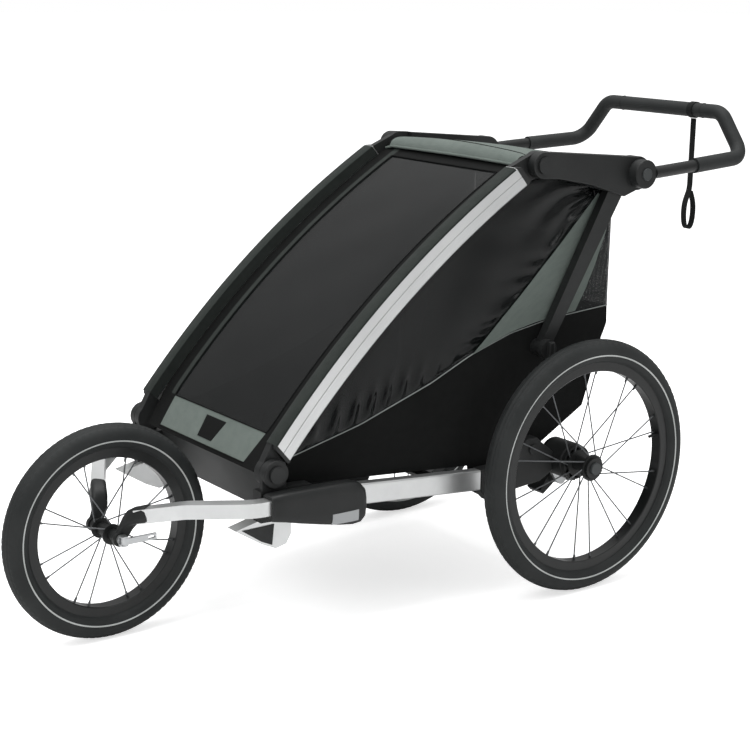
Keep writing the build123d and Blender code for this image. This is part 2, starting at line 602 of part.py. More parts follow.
# ---------------------------------------------------------------- handlebar
def handlebar():
    """The bent tube with its grip, the two hubs with their buttons, and the wrist strap."""
    handle_y, handle_z = HANDLE_HINGE
    bend = (236.0, AXLE_Y + GRIP_REACH - 5, 819.0)
    corner = (168.0, AXLE_Y + GRIP_REACH, GRIP_HEIGHT)
    start_x = HOUSING_OUT + BAR_R + 1.5
    start = (start_x, AXLE_Y + handle_y + HUB_R - 2, handle_z + 1)
    neck = (start_x - 2.5, AXLE_Y + handle_y + 110, handle_z + 6)
    other = [(-px, py, pz) for px, py, pz in (corner, bend, neck, start)]
    with BuildPart() as tube:
        with BuildLine() as route:
            FilletPolyline(start, neck, bend, corner, *other, radius=38)
        with BuildSketch(Plane(origin=route.line @ 0, z_dir=route.line % 0)):
            Circle(BAR_R)
            Circle(BAR_R - WALL, mode=Mode.SUBTRACT)
        sweep(path=route.line)
    save(tube.part, "handlebar")

    with BuildPart() as grip:
        with BuildLine() as route:
            lead = Vector(*bend) - Vector(*neck)
            first = Vector(*neck) + lead * 0.18
            last = Vector(-first.X, first.Y, first.Z)
            FilletPolyline(first, bend, corner, other[0], other[1], last, radius=38)
        with BuildSketch(Plane(origin=route.line @ 0, z_dir=route.line % 0)):
            Circle(GRIP_R)
            Circle(BAR_R + SEAT_GAP, mode=Mode.SUBTRACT)
        sweep(path=route.line)
    save(grip.part, "handlebar_grip")

    with BuildPart() as hubs:
        disc_at(HANDLE_HINGE, HUB_R, HOUSING_OUT + SEAT_GAP, 266)
        fillet(hubs.edges().group_by(Axis.X)[-1], 3)
        disc_at(HANDLE_HINGE, 10 + RUN_GAP, HOUSING_OUT, HOUSING_OUT + 11, Mode.SUBTRACT)
        disc_at(HANDLE_HINGE, 12 + RUN_GAP, 257, 266, Mode.SUBTRACT)
        mirror(about=Plane.YZ)
    save(hubs.part, "handlebar_hubs")

    for side, name in ((1, "left"), (-1, "right")):
        with BuildPart() as hub_button:
            disc_at(HANDLE_HINGE, 12, 261, 269)
            fillet(hub_button.edges().group_by(Axis.X)[-1], 1.5)
            if side < 0:
                mirror(about=Plane.YZ, mode=Mode.REPLACE)
        save(hub_button.part, f"hub_button_{name}")

    # the strap's webbing: a loop round the cross bar, a doubled run and an open wrist loop
    strap_x, strap_half, web = 91.0, 7.0, 2.0
    bar = (GRIP_REACH, GRIP_HEIGHT)
    loop_top, loop_bottom = GRIP_HEIGHT - 178, GRIP_HEIGHT - 252
    with BuildPart() as wrist_strap:
        x_in, x_out = strap_x - strap_half, strap_x + strap_half
        disc_at(bar, GRIP_R + SEAT_GAP + web, x_in, x_out)
        slab_at([(GRIP_REACH - web, loop_top), (GRIP_REACH + web, loop_top), (GRIP_REACH + web, GRIP_HEIGHT),
                 (GRIP_REACH - web, GRIP_HEIGHT)], x_in, x_out)
        with BuildSketch(side_plane(x_in)):
            with Locations(Location((GRIP_REACH, (loop_top + loop_bottom) / 2, 0), (0, 0, 90))):
                SlotOverall(loop_top - loop_bottom + 4, 31)
                SlotOverall(loop_top - loop_bottom + 4 - 2 * web, 31 - 2 * web, mode=Mode.SUBTRACT)
        extrude(amount=2 * strap_half)
        disc_at(bar, GRIP_R + SEAT_GAP, x_in, x_out, Mode.SUBTRACT)
    save(wrist_strap.part, "wrist_strap")


# ---------------------------------------------------------------- cabin
PIPING = [(-634, 345), (-478, 384), (-320, 439), (-226, 481), (-130, 512), (-29, 530), (117, 541)]
REAR_EDGE = [(117, 541), (119, 505), (106, 478), (62, 345), (-45, 284)]


def floor_and_seat():
    """Foot well and seat deck in one pan, with the cushion, the sling back, harness and buckle."""
    path = [(-668, 322), (-634, 230), (-452, 230), (-436, 318), (-60, 318)]
    with BuildPart() as floor_tub:
        with BuildSketch(side_plane(-186)):
            with BuildLine():
                upper = [(py, pz + 3) for py, pz in path]
                upper[1] = (path[1][0] + 2, path[1][1] + 3)
                upper[2] = (path[2][0] - 2, path[2][1] + 3)
                low = [(py, pz) for py, pz in path]
                low[0] = (path[0][0] - 3, path[0][1] - 1)
                low[3] = (path[3][0] + 3, path[3][1] - 1.5)
                Polyline(*low, *reversed(upper), close=True)
            make_face()
        extrude(amount=372)
        for x_in, x_out in ((-186, -180), (180, 186)):
            slab_at([(-640, 231), (-452, 231), (-434, 318), (-60, 318), (-60, 321), (-640, 321)], x_in, x_out)
    save(floor_tub.part, "floor_tub")

    cushion_front, cushion_rear = (SEAT_FRONT, SEAT_TOP), (SEAT_REAR, SEAT_TOP - SEAT_DROP)
    with BuildPart() as cushion:
        slab_at([(SEAT_FRONT - 8, 321), (SEAT_REAR, 321), cushion_rear, cushion_front], -165, 165)
        fillet(cushion.edges().filter_by(Axis.X).group_by(Axis.Z)[-1], 6)
    save(cushion.part, "seat_cushion")

    back_foot, back_top = (-104, 321), (14, 700)
    slope = atan2(back_top[1] - back_foot[1], back_top[0] - back_foot[0])
    normal = (-sin(slope), cos(slope))
    thick = 14

    def back_point(share, offset):
        spot = between(back_foot, back_top, share)
        return (spot[0] + normal[0] * offset, spot[1] + normal[1] * offset)

    with BuildPart() as seat_back:
        slab_at([back_foot, (back_foot[0] + thick + 1, 321), back_point(1, -thick), back_point(1, 0)], -165, 165)
    save(seat_back.part, "seat_back")

    with BuildPart() as harness:
        for x in (-60, 60):
            slab_at([back_point(0.35, 0), back_point(0.85, 0), back_point(0.85, 3), back_point(0.35, 3)],
                    x - 16, x + 16)
    save(harness.part, "harness_straps")

    # the buckle's front edge is the one that meets the sloping cushion
    buckle_front = (BUCKLE_Y - BUCKLE_LONG / 2 - SEAT_FRONT) / (SEAT_REAR - SEAT_FRONT)
    buckle_base = between(cushion_front, cushion_rear, buckle_front)[1] + SEAT_GAP
    with BuildPart() as buckle:
        with BuildSketch(Plane.XY.offset(buckle_base)):
            with Locations((0, AXLE_Y + BUCKLE_Y)):
                RectangleRounded(52, BUCKLE_LONG, 8)
        extrude(amount=16)
        with BuildSketch(Plane.XY.offset(buckle_base + 6)):
            with Locations((0, AXLE_Y + BUCKLE_Y)):
                Circle(11)
        extrude(amount=10, mode=Mode.SUBTRACT)
    save(buckle.part, "buckle")
    with BuildPart() as buckle_button:
        with BuildSketch(Plane.XY.offset(buckle_base + 10)):
            with Locations((0, AXLE_Y + BUCKLE_Y)):
                Circle(10.7)
        extrude(amount=8)
        fillet(buckle_button.edges().group_by(Axis.Z)[-1], 1.2)
    save(buckle_button.part, "buckle_button")


def front_cover():
    """The black front cover between the rails, with the clear window set in it."""
    chord, _, _ = rail_frame()
    window_from, window_to, window_half = 46, chord - 10, 166
    with BuildPart() as cover:
        bowed_band(-24, chord + 30, -1.5, 1.5, -RAIL_IN, RAIL_IN)
        bowed_band(window_from, window_to, -4, 4, -window_half, window_half, Mode.SUBTRACT)
    save(cover.part, "front_cover")
    with BuildPart() as windscreen:
        edge = window_half - SEAT_GAP
        bowed_band(window_from + SEAT_GAP, window_to - SEAT_GAP, -0.8, 0.8, -edge, edge)
    save(windscreen.part, "windscreen")


def side_fabric():
    """Lower side panels, the clear side windows above their piping, and the rear mesh and panel."""
    chord, _, _ = rail_frame()
    with BuildPart() as panels:
        bottom = [(-50, 226), (-192, 200), (-222, 216), (-222, 265), (-596, 293), (-634, 306)]
        slab_at(PIPING + REAR_EDGE[1:] + bottom, SIDE_IN, SIDE_OUT)
        disc_at(KNEE, 16, SIDE_IN, SIDE_OUT, Mode.SUBTRACT)
        disc_at(STRUT_FOOT, PIN_R + 2, SIDE_IN, SIDE_OUT, Mode.SUBTRACT)
        mirror(about=Plane.YZ)
    save(panels.part, "side_panels")

    steps = 7
    front_edge = [rail_point(chord * (0.06 + 0.94 * i / steps), -3.5) for i in range(steps + 1)]
    raised = [(py, pz + SEAT_GAP) for py, pz in PIPING]
    with BuildPart() as windows:
        slab_at(raised[::-1] + front_edge + [(-96, 812), (40, 800), (116, 792)], SIDE_IN, SIDE_OUT)
        mirror(about=Plane.YZ)
    save(windows.part, "side_windows")

    with BuildPart() as rear_mesh:
        slab_at([(117.5, 820), (121, 820), (121, 541.5), (117.5, 541.5)], -SIDE_OUT, SIDE_OUT)
    save(rear_mesh.part, "rear_mesh")

    with BuildPart() as rear_panel:
        inner = REAR_EDGE
        outer = [(py + 3, pz - 1) for py, pz in REAR_EDGE]
        outer[0] = (inner[0][0] + 3.5, inner[0][1])
        shifted = [(py + 0.4, pz - 0.2) for py, pz in inner]
        shifted[0] = (inner[0][0] + 0.4, inner[0][1])
        slab_at(shifted + outer[::-1], -SIDE_OUT, SIDE_OUT)
    save(rear_panel.part, "rear_panel")

    with BuildPart() as roof:
        front_z = TOP_HINGE[1] + 9 + SEAT_GAP
        slab_at([(-108, front_z + 4), (-80, front_z), (98, 816.2), (116, 815), (116, 818), (98, 819.2),
                 (-80, front_z + 3), (-108, front_z + 7)], -SIDE_OUT, SIDE_OUT)
    save(roof.part, "roof")


def stroller():
    """Build and write every piece."""
    wheels()
    chassis()
    jog_sockets()
    brake()
    jog_kit()
    front_rails()
    top_frame()
    handlebar()
    floor_and_seat()
    front_cover()
    side_fabric()


stroller()
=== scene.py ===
"""Looks of a jogging stroller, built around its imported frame.

Lengths named in millimetres are turned to metres by Layout.at. Side-view places are (y, z): y runs
backwards from the rear axle and z up from the ground, as in the frame's own source.
"""

import json
import logging
from collections.abc import Callable, Sequence
from dataclasses import dataclass
from enum import Enum
from math import atan2, cos, exp, hypot, pi, radians, sin, tau

import bpy
from mathutils import Matrix, Vector


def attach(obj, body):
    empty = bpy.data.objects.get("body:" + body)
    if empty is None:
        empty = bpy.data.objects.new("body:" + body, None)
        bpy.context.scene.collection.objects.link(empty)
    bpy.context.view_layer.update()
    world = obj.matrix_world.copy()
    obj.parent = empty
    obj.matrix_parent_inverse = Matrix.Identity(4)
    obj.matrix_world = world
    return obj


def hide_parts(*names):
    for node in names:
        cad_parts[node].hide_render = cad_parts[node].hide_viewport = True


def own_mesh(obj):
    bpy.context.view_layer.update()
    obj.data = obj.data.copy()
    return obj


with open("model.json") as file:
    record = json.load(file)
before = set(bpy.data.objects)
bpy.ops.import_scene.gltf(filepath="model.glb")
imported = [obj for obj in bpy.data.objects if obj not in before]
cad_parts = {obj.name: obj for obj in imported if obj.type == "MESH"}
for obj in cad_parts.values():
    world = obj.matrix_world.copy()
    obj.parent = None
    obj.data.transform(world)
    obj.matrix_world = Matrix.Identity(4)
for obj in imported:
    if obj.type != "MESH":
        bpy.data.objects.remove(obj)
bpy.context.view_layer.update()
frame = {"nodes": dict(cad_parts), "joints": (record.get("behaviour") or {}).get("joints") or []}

log = logging.getLogger("stroller")
MM = 0.001

Point = tuple[float, float]
Colour = tuple[float, float, float]


# ------------------------------------------------------------------ places
class Layout:
    """Places worked out from the frame's joints."""

    def __init__(self) -> None:
        """Read each joint's place."""
        self.joints = {j["name"]: Vector(j["pos_m"]) for j in frame["joints"] if j.get("pos_m")}
        self.axle = self.joints["rear_wheel_spin_left"]

    def at(self, x: float, y: float, z: float) -> Vector:
        """A point from millimetres across, back from the rear axle and up from the ground."""
        return Vector((x * MM, self.axle.y + y * MM, z * MM))


LAYOUT = Layout()
RAIL_START, RAIL_END = (-661.0, 366.0), (-139.5, 812.5)
RAIL_BOW, RAIL_HALF = 30.0, 23.0
SIDE_X = 208.0
PIPING = [(-634, 345), (-478, 384), (-320, 439), (-226, 481), (-130, 512), (-29, 530), (117, 541)]
FOLD_FLOOR, FOLD_KEEP, REAR_FOLD_KEEP = 0.3, 0.39, 0.15
PANEL_FOOT = [
    (-634, 306), (-596, 293), (-226, 265), (-220, 216), (-192, 200), (-52, 226), (-45, 284),
    (62, 345), (106, 478),
    (117, 505),
]


@dataclass(frozen=True)
class Cuts:
    """Stated flat sizes of the cloths: width and length in millimetres, rounded from the modelled pieces."""

    cover: Point = (420.0, 766.0)
    film: Point = (328.0, 665.0)
    flap: Point = (54.0, 690.0)
    roof: Point = (420.0, 250.0)
    side_panel: Point = (751.0, 341.0)
    side_window: Point = (738.0, 467.0)
    front_stripe: Point = (180.0, 340.0)
    rear_stripe: Point = (54.0, 190.0)
    rear_mesh: Point = (418.0, 279.0)
    rear_panel: Point = (418.0, 329.0)
    harness: Point = (30.0, 183.0)


def rail_point(along: float, up: float) -> Point:
    """A side-view point beside the front rail.

    Args:
        along: share of the rail's chord, from its foot.
        up: millimetres out from the rail's bowed middle line.

    Returns:
        The point as (y, z).
    """
    dy, dz = RAIL_END[0] - RAIL_START[0], RAIL_END[1] - RAIL_START[1]
    chord = hypot(dy, dz)
    lift = 4 * RAIL_BOW * along * (1 - along) + up
    return (RAIL_START[0] + dy * along - dz / chord * lift, RAIL_START[1] + dz * along + dy / chord * lift)


def along_line(line: Sequence[Point], y: float) -> float:
    """Height of a broken line at a place y, held at its ends.

    Args:
        line: the line's (y, z) corners in order.
        y: place back from the rear axle, in millimetres.

    Returns:
        The height at y.
    """
    if y <= line[0][0]:
        return line[0][1]
    for (y0, z0), (y1, z1) in zip(line, line[1:]):
        if y <= y1:
            return z0 + (z1 - z0) * (y - y0) / max(y1 - y0, 1e-6)
    return line[-1][1]


def spread(start: float, end: float, count: int, extra: Sequence[float] = ()) -> list[float]:
    """Evenly spaced values with some exact ones added, in order.

    Args:
        start: first value.
        end: last value.
        count: number of even steps.
        extra: exact values to add.

    Returns:
        The values in order.
    """
    even = [start + (end - start) * i / count for i in range(count + 1)]
    keep = [v for v in even if all(abs(v - e) > 0.2 * (end - start) / count for e in extra)]
    return sorted(keep + list(extra))


# ------------------------------------------------------------------ shader groups
class Link:
    """Short hand for adding and joining shader nodes in one tree."""

    def __init__(self, tree: bpy.types.NodeTree) -> None:
        """Keep the tree."""
        self.tree = tree

    def add(self, kind: str, inputs: dict | None = None, **settings: object) -> bpy.types.Node:
        """Add a node.

        Args:
            kind: the node's type without its ShaderNode prefix.
            inputs: socket name or number to a value or to another node's output.
            settings: attributes of the node.

        Returns:
            The node.
        """
        node = self.tree.nodes.new(f"ShaderNode{kind}" if not kind.startswith("Node") else kind)
        for key, value in settings.items():
            setattr(node, key, value)
        for key, value in (inputs or {}).items():
            if isinstance(value, bpy.types.NodeSocket):
                self.tree.links.new(value, node.inputs[key])
            else:
                node.inputs[key].default_value = value
        return node

    def math(self, operation: str, a: object, b: object = 0.5) -> bpy.types.NodeSocket:
        """One sum of two values or sockets."""
        return self.add("Math", {0: a, 1: b}, operation=operation).outputs[0]


def shader_group(
    name: str, inputs: dict[str, str], outputs: Sequence[str], fill: Callable[[Link, object], dict]
) -> bpy.types.NodeTree:
    """A named node group, built once.

    Args:
        name: the group's name.
        inputs: socket name to "Float" or "Vector".
        outputs: names of the value outputs.
        fill: adds the nodes and returns each output's source.

    Returns:
        The group.
    """
    tree = bpy.data.node_groups.get(name)
    if tree:
        return tree
    tree = bpy.data.node_groups.new(name, "ShaderNodeTree")
    for label, kind in inputs.items():
        tree.interface.new_socket(label, in_out="INPUT", socket_type=f"NodeSocket{kind}")
    for label in outputs:
        tree.interface.new_socket(label, in_out="OUTPUT", socket_type="NodeSocketFloat")
    link = Link(tree)
    source, sink = link.add("NodeGroupInput"), link.add("NodeGroupOutput")
    for label, socket in fill(link, source.outputs).items():
        tree.links.new(socket, sink.inputs[label])
    return tree


def moulded_grain() -> bpy.types.NodeTree:
    """Fine pebbled skin of moulded plastic and rubber.

    Returns:
        The node group.
    """

    def fill(link: Link, given: object) -> dict:
        """Pebbles for height and slow clouds for tone.

        Args:
            link: adds and joins the group's nodes.
            given: the group's input sockets by name.

        Returns:
            Each output's source, by the output's name.
        """
        fine = link.add("TexVoronoi", {"Vector": given["Vector"], "Scale": given["Scale"]})
        cloud = link.add("TexNoise", {"Vector": given["Vector"], "Scale": 14.0, "Detail": 4.0})
        return {"Height": fine.outputs["Distance"], "Tone": cloud.outputs["Fac"]}

    return shader_group("Moulded grain", {"Vector": "Vector", "Scale": "Float"}, ("Height", "Tone"), fill)


def plain_weave() -> bpy.types.NodeTree:
    """Over-and-under threads with uneven yarn.

    Returns:
        The node group.
    """

    def fill(link: Link, given: object) -> dict:
        """Two crossed waves, and streaks of thicker yarn.

        Args:
            link: adds and joins the group's nodes.
            given: the group's input sockets by name.

        Returns:
            Each output's source, by the output's name.
        """
        scaled = link.add("VectorMath", {0: given["Vector"], "Scale": given["Scale"]}, operation="SCALE")
        parts = link.add("SeparateXYZ", {0: scaled.outputs[0]})
        crossed = link.math(
            "MULTIPLY", link.math("SINE", parts.outputs[0]), link.math("SINE", parts.outputs[1])
        )
        yarn = link.add("TexNoise", {"Vector": given["Vector"], "Scale": 55.0, "Detail": 5.0})
        cloud = link.add("TexNoise", {"Vector": given["Vector"], "Scale": 9.0, "Detail": 2.0})
        height = link.math("ADD", crossed, yarn.outputs["Fac"])
        tone = link.math("MULTIPLY", link.math("ADD", yarn.outputs["Fac"], cloud.outputs["Fac"]), 0.5)
        return {"Height": height, "Tone": tone, "Thread": link.math("ABSOLUTE", crossed)}

    inputs = {"Vector": "Vector", "Scale": "Float"}
    return shader_group("Plain weave", inputs, ("Height", "Tone", "Thread"), fill)


def drawn_lines() -> bpy.types.NodeTree:
    """Long fine lines that drawing and brushing leave in metal.

    Returns:
        The node group.
    """

    def fill(link: Link, given: object) -> dict:
        """Noise stretched along the metal.

        Args:
            link: adds and joins the group's nodes.
            given: the group's input sockets by name.

        Returns:
            Each output's source, by the output's name.
        """
        stretch = link.add("Mapping", {"Vector": given["Vector"], "Scale": (240.0, 6.0, 240.0)})
        lines = link.add("TexNoise", {"Vector": stretch.outputs[0], "Scale": given["Scale"], "Detail": 3.0})
        cloud = link.add("TexNoise", {"Vector": given["Vector"], "Scale": 5.0, "Detail": 3.0})
        return {"Height": lines.outputs["Fac"], "Tone": cloud.outputs["Fac"]}

    return shader_group("Drawn lines", {"Vector": "Vector", "Scale": "Float"}, ("Height", "Tone"), fill)


def soft_waves() -> bpy.types.NodeTree:
    """Slow unevenness of clear film.

    Returns:
        The node group.
    """

    def fill(link: Link, given: object) -> dict:
        """Broad waves for height and clouds for tone.

        Args:
            link: adds and joins the group's nodes.
            given: the group's input sockets by name.

        Returns:
            Each output's source, by the output's name.
        """
        wave = link.add("TexNoise", {"Vector": given["Vector"], "Scale": given["Scale"], "Detail": 1.5})
        cloud = link.add("TexNoise", {"Vector": given["Vector"], "Scale": 6.0, "Detail": 3.0})
        return {"Height": wave.outputs["Fac"], "Tone": cloud.outputs["Fac"]}

    return shader_group("Soft waves", {"Vector": "Vector", "Scale": "Float"}, ("Height", "Tone"), fill)


def edge_wear() -> bpy.types.NodeTree:
    """Rubbed edges and a little dust on what faces up.

    Returns:
        The node group.
    """

    def fill(link: Link, given: object) -> dict:
        """A mask of sharp edges broken up by noise, and one of upward faces.

        Args:
            link: adds and joins the group's nodes.
            given: the group's input sockets by name.

        Returns:
            Each output's source, by the output's name.
        """
        shape = link.add("NewGeometry")
        sharp = link.add("MapRange", {"Value": shape.outputs["Pointiness"], 1: 0.53, 2: 0.62})
        patch = link.add("TexNoise", {"Vector": given["Vector"], "Scale": 60.0, "Detail": 6.0})
        worn = link.math("MULTIPLY", sharp.outputs[0], patch.outputs["Fac"])
        up = link.add("SeparateXYZ", {0: shape.outputs["Normal"]}).outputs[2]
        settled = link.math("MULTIPLY", link.math("MAXIMUM", up, 0.0), patch.outputs["Fac"])
        return {"Wear": link.math("MULTIPLY", worn, given["Amount"]), "Dust": settled}

    return shader_group("Edge wear", {"Vector": "Vector", "Amount": "Float"}, ("Wear", "Dust"), fill)


# ------------------------------------------------------------------ finishes
class Spread(Enum):
    """Which coordinates a finish's detail follows."""

    SOLID = "Object"
    CLOTH = "UV"


@dataclass(frozen=True)
class Finish:
    """One procedural material.

    Attributes:
        name: the material's name.
        base: main colour.
        second: colour that the detail fades to.
        rough: roughness of the main surface.
        grain: "moulded", "woven", "drawn" or "film".
        scale: how fine the grain is.
        bump: height of the grain in millimetres.
        metallic: 1 for bare metal.
        sheen: soft edge glow of cloth.
        coat: clear coat weight.
        specular: strength of the plain reflection.
        alpha: 1 for solid, less for film.
        wear: strength of rubbed edges.
        spread: which coordinates the grain follows.
        open_weave: whether the gaps between threads are holes.
    """

    name: str
    base: Colour
    second: Colour
    rough: float
    grain: str = "moulded"
    scale: float = 900.0
    bump: float = 0.05
    metallic: float = 0.0
    sheen: float = 0.0
    coat: float = 0.0
    specular: float = 0.35
    alpha: float = 1.0
    wear: float = 0.3
    spread: Spread = Spread.SOLID
    open_weave: bool = False

    def build(self) -> bpy.types.Material:
        """The material, made the first time it is asked for.

        Returns:
            The material.
        """
        material = bpy.data.materials.get(self.name)
        if material:
            return material
        material = bpy.data.materials.new(self.name)
        material.use_nodes = True
        material.node_tree.nodes.clear()
        link = Link(material.node_tree)
        where = link.add("TexCoord").outputs[self.spread.value]
        makers = {"moulded": moulded_grain, "woven": plain_weave, "drawn": drawn_lines, "film": soft_waves}
        detail = link.add("Group", node_tree=makers[self.grain]())
        rub = link.add("Group", node_tree=edge_wear())
        for node in (detail, rub):
            link.tree.links.new(where, node.inputs["Vector"])
        detail.inputs["Scale"].default_value = self.scale
        rub.inputs["Amount"].default_value = self.wear
        tone = link.add("MapRange", {"Value": detail.outputs["Tone"], 1: 0.3, 2: 0.7})
        body = link.add("Mix", data_type="RGBA")
        worn = link.add("Mix", data_type="RGBA")
        for node, low, high in ((body, self.base, self.second), (worn, None, self.lighter())):
            if low:
                node.inputs[6].default_value = (*low, 1)
            node.inputs[7].default_value = (*high, 1)
        link.tree.links.new(tone.outputs[0], body.inputs[0])
        link.tree.links.new(body.outputs[2], worn.inputs[6])
        link.tree.links.new(rub.outputs["Wear"], worn.inputs[0])
        rough = link.add(
            "MapRange", {"Value": detail.outputs["Tone"], 3: self.rough - 0.06, 4: self.rough + 0.08}
        )
        bump = link.add(
            "Bump", {"Height": detail.outputs["Height"], "Strength": 0.6, "Distance": self.bump * MM}
        )
        shader = link.add(
            "BsdfPrincipled",
            {
                "Base Color": worn.outputs[2],
                "Roughness": rough.outputs[0],
                "Normal": bump.outputs[0],
                "Metallic": self.metallic,
                "Sheen Weight": self.sheen,
                "Coat Weight": self.coat,
                "Specular IOR Level": self.specular,
                "Alpha": self.alpha,
            },
        )
        if self.open_weave:
            hole = link.add("MapRange", {"Value": detail.outputs["Thread"], 1: 0.45, 2: 0.62, 3: 1.0, 4: 0.12})
            link.tree.links.new(hole.outputs[0], shader.inputs["Alpha"])
        out = link.add("OutputMaterial")
        link.tree.links.new(shader.outputs[0], out.inputs[0])
        return material

    def lighter(self) -> Colour:
        """The colour of a rubbed edge."""
        return tuple(min(1.0, c * 1.8 + 0.03) for c in self.base)


CLOTH = {"grain": "woven", "wear": 0.0, "spread": Spread.CLOTH, "specular": 0.12}
BLACK_CLOTH = Finish(
    "black_cloth", (0.0042, 0.0046, 0.0045), (0.0080, 0.0085, 0.0083), 0.8, **CLOTH, scale=5200,
    bump=0.12,
)
BORDER_CLOTH = Finish(
    "border_cloth", (0.0035, 0.0038, 0.0037), (0.0065, 0.0070, 0.0068), 0.7, **CLOTH, scale=5200,
    bump=0.1,
)
SAGE_CLOTH = Finish(
    "sage_cloth", (0.112, 0.135, 0.122), (0.150, 0.176, 0.161), 0.78, **CLOTH, scale=4600, bump=0.14, sheen=0.08
)
SHADE_CLOTH = Finish(
    "shade_cloth", (0.020, 0.024, 0.022), (0.032, 0.037, 0.034), 0.78, **CLOTH, scale=4600,
    bump=0.12, sheen=0.04
)
SEAT_CLOTH = Finish(
    "seat_cloth", (0.020, 0.022, 0.022), (0.036, 0.038, 0.038), 0.85, **CLOTH, scale=3600, bump=0.18, sheen=0.1
)
WEBBING = Finish("webbing", (0.008, 0.009, 0.009), (0.016, 0.017, 0.017), 0.7, **CLOTH, scale=3000, bump=0.2)
MESH_CLOTH = Finish(
    "mesh_cloth", (0.020, 0.022, 0.022), (0.036, 0.038, 0.038), 0.7, **CLOTH, scale=1100, bump=0.2,
    open_weave=True
)
PIPING_CORD = Finish("piping_cord", (0.20, 0.22, 0.21), (0.30, 0.32, 0.31), 0.55, scale=1800, wear=0.0)
FILM = {"grain": "film", "wear": 0.0, "specular": 0.26}
TINTED_FILM = Finish(
    "tinted_film", (0.004, 0.005, 0.005), (0.008, 0.009, 0.009), 0.14, **FILM, scale=16, bump=0.8,
    alpha=0.8,
)
DARK_FILM = Finish(
    "dark_film", (0.003, 0.004, 0.004), (0.008, 0.009, 0.009), 0.15, **FILM, scale=20, bump=0.5,
    alpha=0.84,
)
SILVER = Finish(
    "silver_anodised", (0.56, 0.57, 0.57), (0.68, 0.69, 0.69), 0.34, "drawn", 1.0, 0.02, metallic=0.85, wear=0.2
)
STEEL = Finish("steel", (0.42, 0.43, 0.44), (0.55, 0.56, 0.57), 0.32, "drawn", 1.0, 0.02, metallic=1.0)
SPOKE_STEEL = Finish(
    "spoke_steel", (0.10, 0.105, 0.11), (0.17, 0.175, 0.18), 0.35, "drawn", 1.0, 0.01, metallic=0.8
)
BLACK_METAL = Finish("black_metal", (0.006, 0.007, 0.007), (0.011, 0.012, 0.012), 0.44, scale=1500, bump=0.02)
RIM_METAL = Finish(
    "rim_metal", (0.006, 0.007, 0.007), (0.011, 0.012, 0.012), 0.34, scale=1500, bump=0.02, coat=0.1, wear=0.15
)
PLASTIC = Finish("moulded_plastic", (0.008, 0.009, 0.009), (0.014, 0.015, 0.015), 0.5, scale=1100, bump=0.07)
BUTTON_PLASTIC = Finish("button_plastic", (0.036, 0.040, 0.041), (0.052, 0.057, 0.058), 0.42, scale=1100)
GRIP_RUBBER = Finish("grip_rubber", (0.011, 0.013, 0.013), (0.019, 0.021, 0.021), 0.66, scale=700, bump=0.12)
TYRE_RUBBER = Finish(
    "tyre_rubber", (0.016, 0.018, 0.018), (0.026, 0.028, 0.028), 0.62, scale=800, bump=0.08,
    specular=0.25, wear=0.2
)
STRIPE = Finish("tyre_stripe", (0.40, 0.42, 0.41), (0.54, 0.56, 0.55), 0.4, scale=900, bump=0.04, wear=0.0)
REFLECTOR = Finish(
    "reflector", (0.030, 0.033, 0.033), (0.052, 0.056, 0.056), 0.34, "woven", 2600.0, 0.2,
    specular=0.3, wear=0.0
)
RELEASE_RED = Finish("release_red", (0.30, 0.030, 0.026), (0.38, 0.045, 0.040), 0.4, scale=1100, bump=0.04)


# ------------------------------------------------------------------ mesh helpers
def new_object(
    name: str,
    points: Sequence[Vector],
    faces: Sequence[Sequence[int]],
    finishes: Sequence[Finish],
    slots: Sequence[int] | None = None,
    uvs: Sequence[Point] | None = None,
    sharp: float = 40.0,
) -> bpy.types.Object:
    """An object from points and faces.

    Args:
        name: the piece's name.
        points: places in the row frame.
        faces: corner numbers.
        finishes: one for each material slot.
        slots: material slot of each face.
        uvs: flat place of each point, in metres.
        sharp: edges turned by more than this many degrees stay crisp.

    Returns:
        The object, linked to the scene.
    """
    mesh = bpy.data.meshes.new(name)
    mesh.from_pydata([tuple(p) for p in points], [], [tuple(f) for f in faces])
    for finish in finishes:
        mesh.materials.append(finish.build())
    if slots:
        mesh.polygons.foreach_set("material_index", list(slots))
    if uvs:
        layer = mesh.uv_layers.new(name="flat")
        for loop in mesh.loops:
            layer.data[loop.index].uv = uvs[loop.vertex_index]
    mesh.polygons.foreach_set("use_smooth", [True] * len(mesh.polygons))
    mesh.set_sharp_from_angle(angle=radians(sharp))
    mesh.update()
    obj = bpy.data.objects.new(name, mesh)
    bpy.context.scene.collection.objects.link(obj)
    return obj


def thick_cloth(
    name: str,
    points: Sequence[Vector],
    faces: Sequence[Sequence[int]],
    thickness: float,
    finishes: Sequence[Finish],
    uvs: Sequence[Point],
    slots: Sequence[int] | None = None,
) -> bpy.types.Object:
    """A closed cloth of even thickness about a surface.

    Args:
        name: the piece's name.
        points: the middle surface.
        faces: its faces.
        thickness: millimetres.
        finishes: one for each material slot.
        uvs: flat place of each point.
        slots: material slot of each face.

    Returns:
        The object.
    """
    normals = [Vector() for _ in points]
    for face in faces:
        a, b, c = (points[i] for i in face[:3])
        turn = (b - a).cross(c - a)
        for i in face:
            normals[i] += turn
    half = thickness * MM / 2
    steps = [n.normalized() * half for n in normals]
    count = len(points)
    both = [p + s for p, s in zip(points, steps)] + [p - s for p, s in zip(points, steps)]
    sides = [tuple(f) for f in faces] + [tuple(i + count for i in reversed(f)) for f in faces]
    marks = list(slots or [0] * len(faces)) * 2
    used = {}
    for face, mark in zip(faces, marks):
        for a, b in zip(face, (*face[1:], face[0])):
            used[(a, b)] = mark
    for (a, b), mark in used.items():
        if (b, a) not in used:
            sides.append((b, a, a + count, b + count))
            marks.append(mark)
    return new_object(name, both, sides, finishes, marks, list(uvs) * 2)


